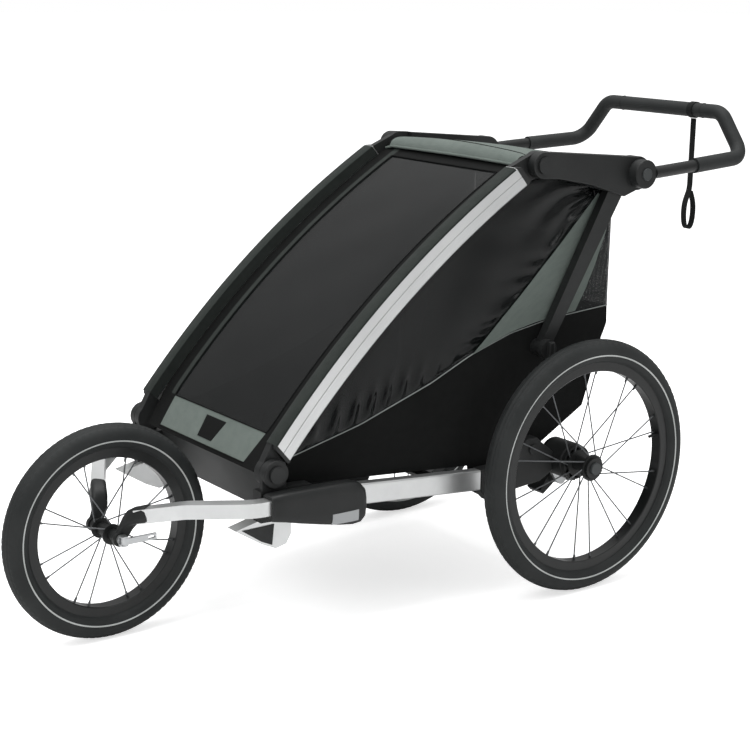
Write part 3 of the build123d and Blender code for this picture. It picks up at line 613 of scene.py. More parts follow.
def cloth_grid(
    name: str,
    rows: Sequence[Sequence[Vector]],
    thickness: float,
    finishes: Sequence[Finish],
    mark: Callable[[int, int], int | None] | None = None,
) -> bpy.types.Object:
    """A thick cloth from rows of points.

    Args:
        name: the piece's name.
        rows: equally long rows.
        thickness: millimetres.
        finishes: one for each material slot.
        mark: material slot of the face at (row, column), or None for a gap.

    Returns:
        The object.
    """
    wide = len(rows[0])
    points = [p for row in rows for p in row]
    uvs, down = [], 0.0
    for r, row in enumerate(rows):
        down += (row[wide // 2] - rows[r - 1][wide // 2]).length if r else 0.0
        over = 0.0
        for c, p in enumerate(row):
            over += (p - row[c - 1]).length if c else 0.0
            uvs.append((over, down))
    faces, slots = [], []
    for r in range(len(rows) - 1):
        for c in range(wide - 1):
            slot = mark(r, c) if mark else 0
            if slot is not None:
                faces.append((r * wide + c, r * wide + c + 1, (r + 1) * wide + c + 1, (r + 1) * wide + c))
                slots.append(slot)
    used = sorted({i for f in faces for i in f})
    place = {old: new for new, old in enumerate(used)}
    return thick_cloth(
        name,
        [points[i] for i in used],
        [tuple(place[i] for i in f) for f in faces],
        thickness,
        finishes,
        [uvs[i] for i in used],
        slots,
    )


def swept(
    name: str, path: Sequence[Vector], outline: Sequence[Point], finish: Finish, across: Vector | None = None
) -> bpy.types.Object:
    """A closed solid swept along a path.

    Args:
        name: the piece's name.
        path: points of the path.
        outline: the section in metres, as (across, outwards).
        finish: its material.
        across: direction that the section's first axis keeps, if it must not turn.

    Returns:
        The object.
    """
    points, uvs, length = [], [], 0.0
    side = across or (path[1] - path[0]).cross(Vector((0.3, 0.2, 1))).normalized()
    for i, p in enumerate(path):
        ahead = (path[min(i + 1, len(path) - 1)] - path[max(i - 1, 0)]).normalized()
        side = (across or side) - ahead * (across or side).dot(ahead)
        side.normalize()
        out = ahead.cross(side)
        length += (p - path[i - 1]).length if i else 0.0
        for k, (u, v) in enumerate(outline):
            points.append(p + side * u + out * v)
            uvs.append((k * 0.003, length))
    n = len(outline)
    faces = [
        (i * n + k, i * n + (k + 1) % n, (i + 1) * n + (k + 1) % n, (i + 1) * n + k)
        for i in range(len(path) - 1)
        for k in range(n)
    ]
    faces += [tuple(reversed(range(n))), tuple(range(len(points) - n, len(points)))]
    return new_object(name, points, faces, [finish], uvs=uvs)


def lofted(
    name: str, rings: Sequence[Sequence[Vector]], finish: Finish, flip: bool = False, sharp: float = 40.0
) -> bpy.types.Object:
    """A closed solid through rings of points, capped at both ends.

    Args:
        name: the piece's name.
        rings: equally long rings, from one end to the other.
        finish: its material.
        flip: whether the faces turn the other way.
        sharp: edges turned by more than this many degrees stay crisp.

    Returns:
        The object.
    """
    n, points = len(rings[0]), [p for ring in rings for p in ring]
    faces = [
        (i * n + k, i * n + (k + 1) % n, (i + 1) * n + (k + 1) % n, (i + 1) * n + k)
        for i in range(len(rings) - 1)
        for k in range(n)
    ]
    faces += [tuple(reversed(range(n))), tuple(range(len(points) - n, len(points)))]
    faces = [f[::-1] for f in faces] if flip else faces
    return new_object(name, points, faces, [finish], sharp=sharp)


def round_section(radius: float, sides: int = 10) -> list[Point]:
    """A circle's outline from a radius in millimetres.

    Args:
        radius: radius in millimetres.
        sides: number of corners.

    Returns:
        The outline's corners, in metres.
    """
    return [(radius * MM * cos(tau * k / sides), radius * MM * sin(tau * k / sides)) for k in range(sides)]


def lathe(
    name: str,
    centre: Vector,
    outline: Sequence[tuple[float, float, int]],
    finishes: Sequence[Finish],
    turns: int = 64,
    dent: Callable[[int, float], float] | None = None,
) -> bpy.types.Object:
    """A closed ring or plug turned about an axis across the stroller.

    Args:
        name: the piece's name.
        centre: a point on the axis.
        outline: closed outline of (radius, distance across, material slot), in millimetres.
        finishes: one for each material slot.
        turns: steps round the axis.
        dent: how far a point sinks, from its outline number and its angle.

    Returns:
        The object.
    """
    n, points = len(outline), []
    for t in range(turns):
        angle = tau * t / turns
        for k, (radius, x, _) in enumerate(outline):
            r = (radius - (dent(k, angle) if dent else 0.0)) * MM
            points.append(centre + Vector((x * MM, r * cos(angle), r * sin(angle))))
    faces, slots = [], []
    for t in range(turns):
        for k in range(n):
            after, up = ((t + 1) % turns) * n, (k + 1) % n
            faces.append((t * n + k, t * n + up, after + up, after + k))
            slots.append(outline[k][2])
    return new_object(name, points, faces, finishes, slots)


def outline_area(outline: Sequence[Point]) -> float:
    """Area inside a pattern's outline.

    Args:
        outline: the outline's corners in millimetres.

    Returns:
        The area in square metres.
    """
    pairs = zip(outline, (*outline[1:], outline[0]))
    return abs(sum(y0 * z1 - y1 * z0 for (y0, z0), (y1, z1) in pairs)) / 2 * MM * MM


def fold_down(*pieces: bpy.types.Object, keep: float = FOLD_KEEP) -> None:
    """Give each soft piece on the chassis its own copy of its mesh.

    Args:
        pieces: the pieces.
        keep: share of its height that each piece keeps at the full fold; not used.
    """
    for piece in pieces:
        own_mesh(piece)


def ride_all(body: str, *pieces: bpy.types.Object) -> None:
    """Let pieces move with one body, and note them.

    Args:
        body: the body's name.
        pieces: the pieces.
    """
    for piece in pieces:
        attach(piece, body)
        log.info("%s rides on %s", piece.name, body)


# ------------------------------------------------------------------ carried-over nodes
NODE_FINISHES = {
    SILVER: ("side_rails", "front_rails", "jog_arms", "front_feet"),
    STEEL: ("brake_frame", "brake_pin_left", "brake_pin_right", "front_axle", "qr_lever"),
    BLACK_METAL: (
        "cross_members", "rear_axle_tube", "canopy_bar", "uprights", "rear_cross_bar", "struts", "handlebar",
    ),
    RIM_METAL: ("front_rim", "rear_rim_left", "rear_rim_right"),
    SPOKE_STEEL: ("front_spokes", "rear_spokes_left", "rear_spokes_right"),
    PLASTIC: (
        "front_corners", "rear_brackets", "hub_carriers", "pivot_bolts", "floor_tub", "buckle", "brake_pedal",
        "rail_ends", "top_housings", "fold_knob_left", "fold_knob_right", "handlebar_hubs",
        "front_hub", "rear_hub_left", "rear_hub_right",
    ),
    BUTTON_PLASTIC: ("hub_button_left", "hub_button_right", "axle_button_left", "axle_button_right"),
    GRIP_RUBBER: ("handlebar_grip",),
    RELEASE_RED: ("buckle_button",),
}


def dress_nodes() -> None:
    """Give every carried-over node its finish."""
    for finish, names in NODE_FINISHES.items():
        for name in names:
            node = frame["nodes"][name]
            if not node.material_slots:
                node.data.materials.append(finish.build())
            for slot in node.material_slots:
                slot.link = "OBJECT"
                slot.material = finish.build()


# ------------------------------------------------------------------ wheels
@dataclass
class Wheel:
    """Tyre with tread and stripe, spoke nipples and valve of one wheel.

    Attributes:
        name: "front", "rear_left" or "rear_right".
        node: name of the tyre's node.
        body: the body it rides on.
        joint: the joint it spins on.
        outer: radius over the tread, in millimetres.
        rim_inner: radius inside the rim.
        pairs: number of crossing pairs of spokes.
        outward: +1 or -1, the side that faces out; not used.
    """

    name: str
    node: str
    body: str
    joint: str
    outer: float
    rim_inner: float
    pairs: int
    outward: int = 1

    half: float = 23.5
    wall: float = 4.0
    bead: float = 13.3
    stripe_low: float = 98.0
    stripe_high: float = 104.5
    tread_depth: float = 1.1
    sipes: int = 90

    def build(self) -> None:
        """Build and dress the wheel's pieces."""
        centre = LAYOUT.joints[self.joint]
        tyre = self.tyre(centre)
        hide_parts(self.node)
        ride_all(self.body, tyre, self.nipples(centre), self.valve(centre))

    def tyre(self, centre: Vector) -> bpy.types.Object:
        """A hollow tyre with ribs, sipes and a pale stripe on each wall.

        Args:
            centre: the wheel's middle.

        Returns:
            The new piece.
        """
        ring = self.outer - self.half
        edge = 180 - atan2(self.bead, (self.half**2 - self.bead**2) ** 0.5) * 180 / pi
        marks = (13.0, 16.0, 30.0, 33.0, self.stripe_low, self.stripe_high, 125.0, 130.0)
        turns = spread(-edge, edge, 40, [s * m for m in marks for s in (-1, 1)])
        outline = []
        for degrees in turns:
            lift = 0.35 if self.stripe_low <= abs(degrees) <= self.stripe_high else 0.0
            lift += 0.7 if 125 <= abs(degrees) <= 130 else 0.0
            r = self.half + lift
            striped = self.stripe_low <= abs(degrees + 0.01) < self.stripe_high
            outline.append((ring + r * cos(radians(degrees)), r * sin(radians(degrees)), int(striped)))
        inner = self.half - self.wall
        last = 180 - atan2(self.bead, (inner**2 - self.bead**2) ** 0.5) * 180 / pi
        outline += [
            (ring + inner * cos(radians(a)), inner * sin(radians(a)), 0) for a in spread(-last, last, 12)[::-1]
        ]

        def dent(k: int, angle: float) -> float:
            """Depth of the ribs' grooves and of the slanted sipes.

            Args:
                k: number of the outline's corner.
                angle: place round the wheel, in radians.

            Returns:
                The depth in millimetres.
            """
            if k >= len(turns):
                return 0.0
            a = abs(turns[k])
            groove = self.tread_depth if 13 <= a <= 16 or 30 <= a <= 33 else 0.0
            wave = sin(self.sipes * angle + turns[k] * 0.12)
            sipe = self.tread_depth * 0.8 if 33 < a < 58 and wave > 0.72 else 0.0
            middle = self.tread_depth * 0.45 if 16 < a < 30 and wave < -0.8 else 0.0
            return max(groove, sipe, middle)

        return lathe(f"tyre_{self.name}", centre, outline, [TYRE_RUBBER, STRIPE], self.sipes * 4, dent)

    def nipples(self, centre: Vector) -> bpy.types.Object:
        """The short brass ends of the spokes where they enter the rim.

        Args:
            centre: the wheel's middle.

        Returns:
            The new piece.
        """
        points, faces = [], []
        for i in range(self.pairs):
            middle = tau * (i + 0.5) / self.pairs
            for side in (-1, 1):
                angle = middle + side * radians(9.0) * 0.62
                out = Vector((0, cos(angle), sin(angle)))
                across = Vector((0, -out.z, out.y))
                foot = centre + Vector((side * 3 * MM, 0, 0)) + out * (self.rim_inner - 9) * MM
                first = len(points)
                for step, radius in ((0, 1.6), (2, 2.2), (9.5, 2.4)):
                    for k in range(8):
                        turn = tau * k / 8
                        ring = Vector((1, 0, 0)) * cos(turn) + across * sin(turn)
                        points.append(foot + out * step * MM + ring * radius * MM)
                for level in range(2):
                    for k in range(8):
                        a, b = first + level * 8 + k, first + level * 8 + (k + 1) % 8
                        faces.append((a, b, b + 8, a + 8))
                faces.append(tuple(first + 7 - k for k in range(8)))
                faces.append(tuple(first + 16 + k for k in range(8)))
        return new_object(f"nipples_{self.name}", points, faces, [SPOKE_STEEL])

    def valve(self, centre: Vector) -> bpy.types.Object:
        """The valve stem with its cap.

        Args:
            centre: the wheel's middle.

        Returns:
            The new piece.
        """
        out = Vector((0, cos(radians(11)), sin(radians(11))))
        path = [centre + out * (self.rim_inner - d) * MM for d in (-1.0, 9.0, 9.4, 17.0, 17.8)]
        piece = swept(f"valve_{self.name}", path, round_section(3.0, 12), BLACK_METAL)
        return piece


# ------------------------------------------------------------------ front cover
@dataclass
class FrontCover:
    """Cloth between the front rails with its tinted window, sage bands and rail flaps.

    Attributes:
        foot: where the cloth starts, as a share of the rail's chord.
        head: where it ends.
        window_from: where the window starts.
        window_to: where it ends.
        window_half: half the window's width in millimetres.
        band_half: half the width of the sage band at the foot.
    """

    foot: float = -0.074
    head: float = 1.04
    band_from: float = -0.064
    window_from: float = 0.032
    window_to: float = 1.0
    window_half: float = 164.0
    edge_half: float = 209.6
    strip: float = 17.0

    def place(self, x: float, along: float, up: float) -> Vector:
        """A point on the cover, which bellies out a little between the rails.

        Args:
            x: place across, in millimetres.
            along: share of the rail's chord, from its foot.
            up: distance out from the rail, in millimetres.

        Returns:
            The point.
        """
        belly = 3.0 * (1 - (x / self.edge_half) ** 2) * sin(pi * min(max(along, 0), 1))
        narrow = 1 - 0.09 * min(1.0, max(0.0, 0.05 - along) / 0.12)
        return LAYOUT.at(x * narrow, *rail_point(along, up + belly))

    def build(self) -> None:
        """Build the cover, the window, the hems and the flaps."""
        cover = self.cloth()
        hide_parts("front_cover")
        film = self.film()
        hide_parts("windscreen")
        hems = self.hems()
        patch = self.patch()
        flaps = [self.flap(side) for side in (1, -1)]
        ride_all("front_frame", cover, film, *hems, patch, *flaps)

    def cloth(self) -> bpy.types.Object:
        """Black cloth with a sage band at the foot and sage strips beside the window.

        Returns:
            The new piece.
        """
        w, strip = self.window_half, self.strip
        xs = spread(-self.edge_half, self.edge_half, 28, (-w - strip, -w, w, w + strip))
        marks = (self.band_from, self.window_from, self.window_to)
        stations = spread(self.foot, self.head, 44, marks)
        rows = [[self.place(x, s, 0.0) for x in xs] for s in stations]

        def mark(r: int, c: int) -> int | None:
            """Which cloth, or the window's gap.

            Args:
                r: row of the face.
                c: column of the face.

            Returns:
                The material's number, or None in the gap.
            """
            x = (xs[c] + xs[c + 1]) / 2
            s = (stations[r] + stations[r + 1]) / 2
            if abs(x) < w and self.window_from < s < self.window_to:
                return None
            if abs(x) < w and self.band_from < s < self.window_from:
                return 1
            if -w - strip < x < -w and self.window_from < s:
                return 2
            return 0

        return cloth_grid("front_cover_cloth", rows, 1.6, [BORDER_CLOTH, SAGE_CLOTH, SHADE_CLOTH], mark)

    def film(self) -> bpy.types.Object:
        """The tinted window, a little wavy as soft film is.

        Returns:
            The new piece.
        """
        w = self.window_half - 0.3
        xs = spread(-w, w, 36)
        stations = spread(self.window_from + 0.0006, self.window_to - 0.0006, 60)
        rows = []
        for s in stations:
            row = []
            for x in xs:
                inset = (1 - (x / w) ** 2) * sin(
                    pi * (s - self.window_from) / (self.window_to - self.window_from)
                )
                wave = 0.9 * sin(9 * s + x * 0.011) + 0.5 * sin(21 * s - x * 0.024)
                wave += 0.35 * sin(x * 0.05 + 30 * s)
                row.append(self.place(x, s, -0.6 + inset * wave))
            rows.append(row)
        return cloth_grid("windscreen_film", rows, 0.7, [TINTED_FILM])

    def hems(self) -> list[bpy.types.Object]:
        """Piping round the window and along the sage band.

        Returns:
            The new pieces.
        """
        w, section = self.window_half + 1.2, round_section(1.5, 8)
        low, high = self.window_from - 0.002, self.window_to + 0.002
        steps = 40
        pieces = []
        for label, x in (("near", w), ("far", -w)):
            path = [self.place(x, low + (high - low) * i / steps, 1.0) for i in range(steps + 1)]
            pieces.append(swept(f"window_hem_{label}", path, section, BORDER_CLOTH))
        for label, s in (("foot", low), ("head", high), ("band", self.band_from)):
            path = [self.place(-w + 2 * w * i / steps, s, 1.0) for i in range(steps + 1)]
            pieces.append(swept(f"window_hem_{label}", path, section, BORDER_CLOTH))
        return pieces

    def patch(self) -> bpy.types.Object:
        """A plain tapered patch in the middle of the sage band.

        Returns:
            The new piece.
        """
        low, high = self.band_from + 0.016, self.window_from - 0.018
        rows = []
        for i in range(7):
            s = low + (high - low) * i / 6
            half = 26 + 9 * i / 6
            rows.append([self.place(-half + 2 * half * c / 12 + 4, s, 1.4) for c in range(13)])
        return cloth_grid("band_patch", rows, 0.9, [BORDER_CLOTH])

    def flap(self, side: int) -> bpy.types.Object:
        """Cloth that wraps the inner and front faces of one rail.

        Args:
            side: +1 for the child's left, -1 for the right.

        Returns:
            The new piece.
        """
        section = [(209.3, 1.6), (209.3, RAIL_HALF + 0.4), (211.0, RAIL_HALF + 1.3), (224, RAIL_HALF + 1.3)]
        section += [(235.5, RAIL_HALF + 1.1), (238.2, RAIL_HALF - 0.6), (238.6, RAIL_HALF - 4.0)]
        section = section if side > 0 else section[::-1]
        rows = []
        for i in range(41):
            s = -0.004 + i / 40
            rows.append([LAYOUT.at(side * x, *rail_point(s, up)) for x, up in section])
        return cloth_grid(f"rail_flap_{'near' if side > 0 else 'far'}", rows, 0.8, [SHADE_CLOTH])


# ------------------------------------------------------------------ roof
@dataclass
class Roof:
    """Crowned sage roof with its rolled front edge and its folded-down sides."""

    front: float = -121.0
    back: float = 116.0
    half: float = 209.0
    crown: float = 9.0
    spine = (
        (-121.0, 829.5), (-119.5, 834.5), (-116.5, 839.5), (-112.0, 843.5), (-105.0, 846.0), (-96.0, 846.0),
        (-80.0, 843.6), (0.0, 835.5), (98.0, 819.5), (116.0, 817.0),
    )

    def height(self, x: float, y: float) -> float:
        """Height of the cloth: highest at the front, crowned across, with soft dents.

        Args:
            x: place across, in millimetres.
            y: place back from the rear axle, in millimetres.

        Returns:
            The height in millimetres.
        """
        share = abs(x) / self.half
        fall = 4.0 * max(0.0, share - 0.9) * 10
        wrinkle = 0.7 * sin(y * 0.045 + x * 0.02) * (1 - share**2)
        rise = 0.25 + 0.75 * min(1.0, (y - self.front) / 26)
        return along_line(self.spine, y) + (self.crown * (1 - share**2.4) + wrinkle) * rise - fall

    def build(self) -> None:
        """Build the roof, its front roll and its seams."""
        xs = spread(-self.half, self.half, 44, (-self.half + 12, self.half - 12))
        ys = spread(self.front, self.back, 30, [y for y, _ in self.spine] + [self.back - 10])
        rows = [[LAYOUT.at(x, y, self.height(x, y)) for x in xs] for y in ys]

        def mark(r: int, c: int) -> int:
            """Black binding round the sage cloth.

            Args:
                r: row of the face.
                c: column of the face.

            Returns:
                The material's number.
            """
            x, y = (xs[c] + xs[c + 1]) / 2, (ys[r] + ys[r + 1]) / 2
            return int(abs(x) > self.half - 12 or y > self.back - 10)

        cloth = cloth_grid("roof_cloth", rows, 1.8, [SAGE_CLOTH, BORDER_CLOTH], mark)
        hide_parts("roof")
        wide = spread(-self.half, self.half, 40)
        roll = [LAYOUT.at(x, self.front - 0.5, self.height(x, self.front)) for x in wide]
        pieces = [swept("roof_front_roll", roll, round_section(2.6, 12), SAGE_CLOTH)]
        for label, y in (("front", self.front + 24), ("rear", self.back - 11)):
            seam = [LAYOUT.at(x, y, self.height(x, y) + 1.2) for x in spread(-self.half + 3, self.half - 3, 40)]
            pieces.append(swept(f"roof_seam_{label}", seam, round_section(0.9, 6), BORDER_CLOTH))
        ride_all("top_frame", cloth, *pieces)


# ------------------------------------------------------------------ side cloth
@dataclass
class CabinSide:
    """Lower panel, tinted window, stripes, side mesh and piping of one side.

    Attributes:
        side: +1 for the child's left, -1 for the right.
    """

    side: int

    def label(self, name: str) -> str:
        """A piece's name with its side."""
        return f"{name}_{'left' if self.side > 0 else 'right'}"

    def at(self, x: float, y: float, z: float) -> Vector:
        """A place on this side."""
        return LAYOUT.at(self.side * x, y, z)

    def in_order(self, rows: list[list[Vector]]) -> list[list[Vector]]:
        """Rows turned so that the cloth's front faces outwards."""
        return rows if self.side > 0 else [row[::-1] for row in rows]

    def build(self) -> list[bpy.types.Object]:
        """Build this side's pieces and work out the areas of its sheets.

        Returns:
            This side's pieces, the panel first and the window second.
        """
        panel, window = self.panel(), self.window()
        trims = [self.piping(), self.edge_binding()]
        stripes = [self.front_stripe(), self.rear_stripe()]
        pieces = [panel, window, *trims, *stripes]
        ride_all("chassis", *pieces)
        panel_area = outline_area([*PANEL_FOOT, *reversed(PIPING)])
        top = [(y, self.window_top(y)) for y in (116, 40, -96, -140, -250, -350, -450, -550, -622)]
        window_area = outline_area([*PIPING, *top])
        wide = outline_area(
            [(-222, 483), (-68, 622), (79, 766), (112, 754), (36, 641), (-46, 530), (-130, 515)]
        )
        narrow = outline_area([(-22, 532), (31, 612), (95, 694), (109, 702), (72, 610), (32, 539)])
        fold_down(*pieces)
        return pieces

    def panel(self) -> bpy.types.Object:
        """The black lower panel, pulled in soft folds between its fixings.

        Returns:
            The new piece.
        """
        ys = spread(-634, 117, 90, [y for y, _ in PANEL_FOOT])
        rows = []
        for i in range(25):
            share, row = i / 24, []
            for y in ys:
                low, high = along_line(PANEL_FOOT, y), along_line(PIPING, y)
                z = low + (high - low) * share
                inner = sin(pi * share) * sin(pi * (y + 634) / 751)
                fold = 0.8 * sin(y * 0.021 + z * 0.03) + 0.6 * sin(y * 0.05 - z * 0.041) + 0.3 * sin(z * 0.11)
                row.append(self.at(SIDE_X + inner * fold * 0.55, y, z))
            rows.append(row)
        return cloth_grid(self.label("side_panel"), self.in_order(rows), 1.6, [BLACK_CLOTH])

    def window_top(self, y: float) -> float:
        """Height of the window's upper edge, under the rail and then the housing."""
        rail = [rail_point(0.05 + 0.95 * i / 24, -4.5) for i in range(25)]
        return along_line([*rail, (-96, 812), (40, 800), (116, 792)], y)

    def window(self) -> bpy.types.Object:
        """Tinted film, puckered along the piping and drawn to its upper rear corner.

        Returns:
            The new piece.
        """
        ys = spread(-622, 116, 230)
        high_steps = 64
        rows = []
        for i in range(high_steps + 1):
            share, row = i / high_steps, []
            for k, y in enumerate(ys):
                low, high = along_line(PIPING, y) + 0.6, self.window_top(y)
                z = low + (high - low) * share
                row.append(self.at(SIDE_X + self.crinkle(y, z, low, high), y, z))
            rows.append(row)
        last = len(ys) - 2

        def mark(r: int, c: int) -> int:
            """Mesh behind the rear stripe, film elsewhere.

            Args:
                r: row of the face.
                c: column of the face.

            Returns:
                The material's number.
            """
            k = c if self.side > 0 else last - c
            y, low, high = ys[k], along_line(PIPING, ys[k]), self.window_top(ys[k])
            z = low + (high - low) * (r + 0.5) / high_steps
            return int(z < 702 and y > along_line([(539, 32), (610, 72), (702, 106)], z))

        return cloth_grid(self.label("side_window"), self.in_order(rows), 0.7, [DARK_FILM, MESH_CLOTH], mark)

    def crinkle(self, y: float, z: float, low: float, high: float) -> float:
        """How far the film stands out at a place, none at its edges.

        Args:
            y: place back from the rear axle, in millimetres.
            z: height in millimetres.
            low: height of the film's lower edge.
            high: height of the film's upper edge.

        Returns:
            The distance in millimetres.
        """
        above, below = z - low, high - z
        hold = min(1.0, above / 8) * min(1.0, below / 18) * min(1.0, (116 - y) / 14)
        phase = (y - 0.3 * above) / 40 * tau + 0.9 * sin(y * 0.016)
        bunch = (0.5 + 0.5 * sin(phase)) ** 1.6 * (0.55 + 0.45 * sin(y * 0.012 + 1.2))
        pucker = 5.2 * exp(-((above - 16) ** 2) / 1100) * bunch
        dy, dz = 104 - y, 780 - z
        reach, ray = hypot(dy, dz), atan2(dz, dy)
        drawn = 4.0 * exp(-reach / 130) * sin(19 * ray + 2.2 * sin(reach * 0.02)) * min(1.0, reach / 30)
        edge = (z - 483) * 1.067 - 222
        beside = max(0.0, edge - y)
        hold *= min(1.0, max(0.0, edge + 6 - y) / 14)
        tug = 2.6 * exp(-beside / 24) * sin(z * 0.16 + 1.3 * sin(z * 0.05)) * min(1.0, above / 20)
        slack = 1.5 * sin(y * 0.017 + z * 0.012) + 1.0 * sin(y * 0.037 - z * 0.026)
        return max(0.0, hold) * (pucker + drawn + tug + slack + 1.2)

    def piping(self) -> bpy.types.Object:
        """The thin pale cord between panel and window."""
        path = [self.at(SIDE_X + 1.7, y, along_line(PIPING, y)) for y in spread(-634, 117, 60)]
        return swept(self.label("side_piping"), path, round_section(1.1, 8), PIPING_CORD)

    def edge_binding(self) -> bpy.types.Object:
        """Black tape where the window meets the rail.

        Returns:
            The new piece.
        """
        path = [self.at(SIDE_X - 0.4, *rail_point(0.05 + 0.94 * i / 40, -9.0)) for i in range(41)]
        tape = [(-7.5, -1.2), (7.5, -1.2), (7.5, 1.2), (-7.5, 1.2)]
        section = [(v * MM, u * MM) for u, v in tape]
        return swept(self.label("window_binding"), path, section, BORDER_CLOTH, Vector((1, 0, 0)))

    def stripe(
        self, name: str, foot: Sequence[Point], middle: tuple[Point, Point], top: tuple[Point, Point]
    ) -> bpy.types.Object:
        """A sage stripe with bowed edges.

        Args:
            name: the piece's name.
            foot: the foot's edge, from front to rear.
            middle: front and rear edges half way up.
            top: front and rear ends of the top edge.

        Returns:
            The object.
        """
        wide, rows = 12, []
        for i in range(31):
            t, row = i / 30, []
            low, mid, high = 2 * (t - 0.5) * (t - 1), 4 * t * (1 - t), 2 * t * (t - 0.5)
            for c in range(wide + 1):
                across = c / wide
                fy = foot[0][0] + (foot[-1][0] - foot[0][0]) * across
                ends = [(fy, along_line(foot, fy))]
                for front, rear in (middle, top):
                    ends.append(tuple(f + (r - f) * across for f, r in zip(front, rear)))
                y, z = (low * a + mid * b + high * c for a, b, c in zip(*ends))
                ripple = 0.35 * sin(t * 21 + across * 2)
                row.append(self.at(SIDE_X + 3.4 + ripple, y, z))
            rows.append(row)
        return cloth_grid(self.label(name), self.in_order(rows), 1.2, [SAGE_CLOTH])

    def front_stripe(self) -> bpy.types.Object:
        """The wide stripe in front of the upright."""
        foot = [(-222, 483), (-180, 498), (-130, 515), (-71, 527), (-46, 530)]
        return self.stripe("stripe_front", foot, ((-68, 622), (36, 641)), ((79, 766), (112, 754)))

    def rear_stripe(self) -> bpy.types.Object:
        """The narrow stripe behind the upright."""
        foot = [(-22, 532), (32, 539)]
        return self.stripe("stripe_rear", foot, ((31, 612), (72, 610)), ((95, 694), (109, 702)))


@dataclass
class CabinBack:
    """Mesh and lower panel across the back."""

    half: float = 209.0

    def build(self) -> None:
        """Build the mesh above and the panel below."""
        mesh = self.sheet("rear_mesh_cloth", [(119.2, 541.5), (119.2, 820)], 24, MESH_CLOTH)
        edge = [(-43.5, 283.5), (63.5, 344.5), (107.5, 477.5), (120.5, 505), (118.9, 540.5)]
        panel = self.sheet("rear_panel_cloth", edge, 40, BLACK_CLOTH)
        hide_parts("rear_mesh")
        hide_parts("rear_panel")
        binding = [LAYOUT.at(x, 120.2, 541) for x in spread(-self.half, self.half, 24)]
        trim = swept("rear_piping", binding, round_section(1.3, 8), PIPING_CORD)
        ride_all("chassis", mesh, panel, trim)
        fold_down(mesh, panel, trim, keep=REAR_FOLD_KEEP)

    def sheet(self, name: str, line: Sequence[Point], steps: int, finish: Finish) -> bpy.types.Object:
        """A cloth across the back along a side-view line, with soft folds.

        Args:
            name: the piece's name.
            line: side-view (y, z) line that the cloth follows.
            steps: number of rows.
            finish: the cloth's finish.

        Returns:
            The new piece.
        """
        xs, rows = spread(-self.half, self.half, 40), []
        runs = [hypot(b[0] - a[0], b[1] - a[1]) for a, b in zip(line, line[1:])]
        for i in range(steps + 1):
            left, n = sum(runs) * i / steps, 0
            while n < len(runs) - 1 and left > runs[n]:
                left -= runs[n]
                n += 1
            share = min(1.0, left / runs[n])
            y = line[n][0] + (line[n + 1][0] - line[n][0]) * share
            z = line[n][1] + (line[n + 1][1] - line[n][1]) * share
            calm = sin(pi * i / steps)
            rows.append([LAYOUT.at(x, y + 0.5 * calm * sin(x * 0.03 + z * 0.02), z) for x in xs])
        return cloth_grid(name, [row[::-1] for row in rows], 1.4, [finish])


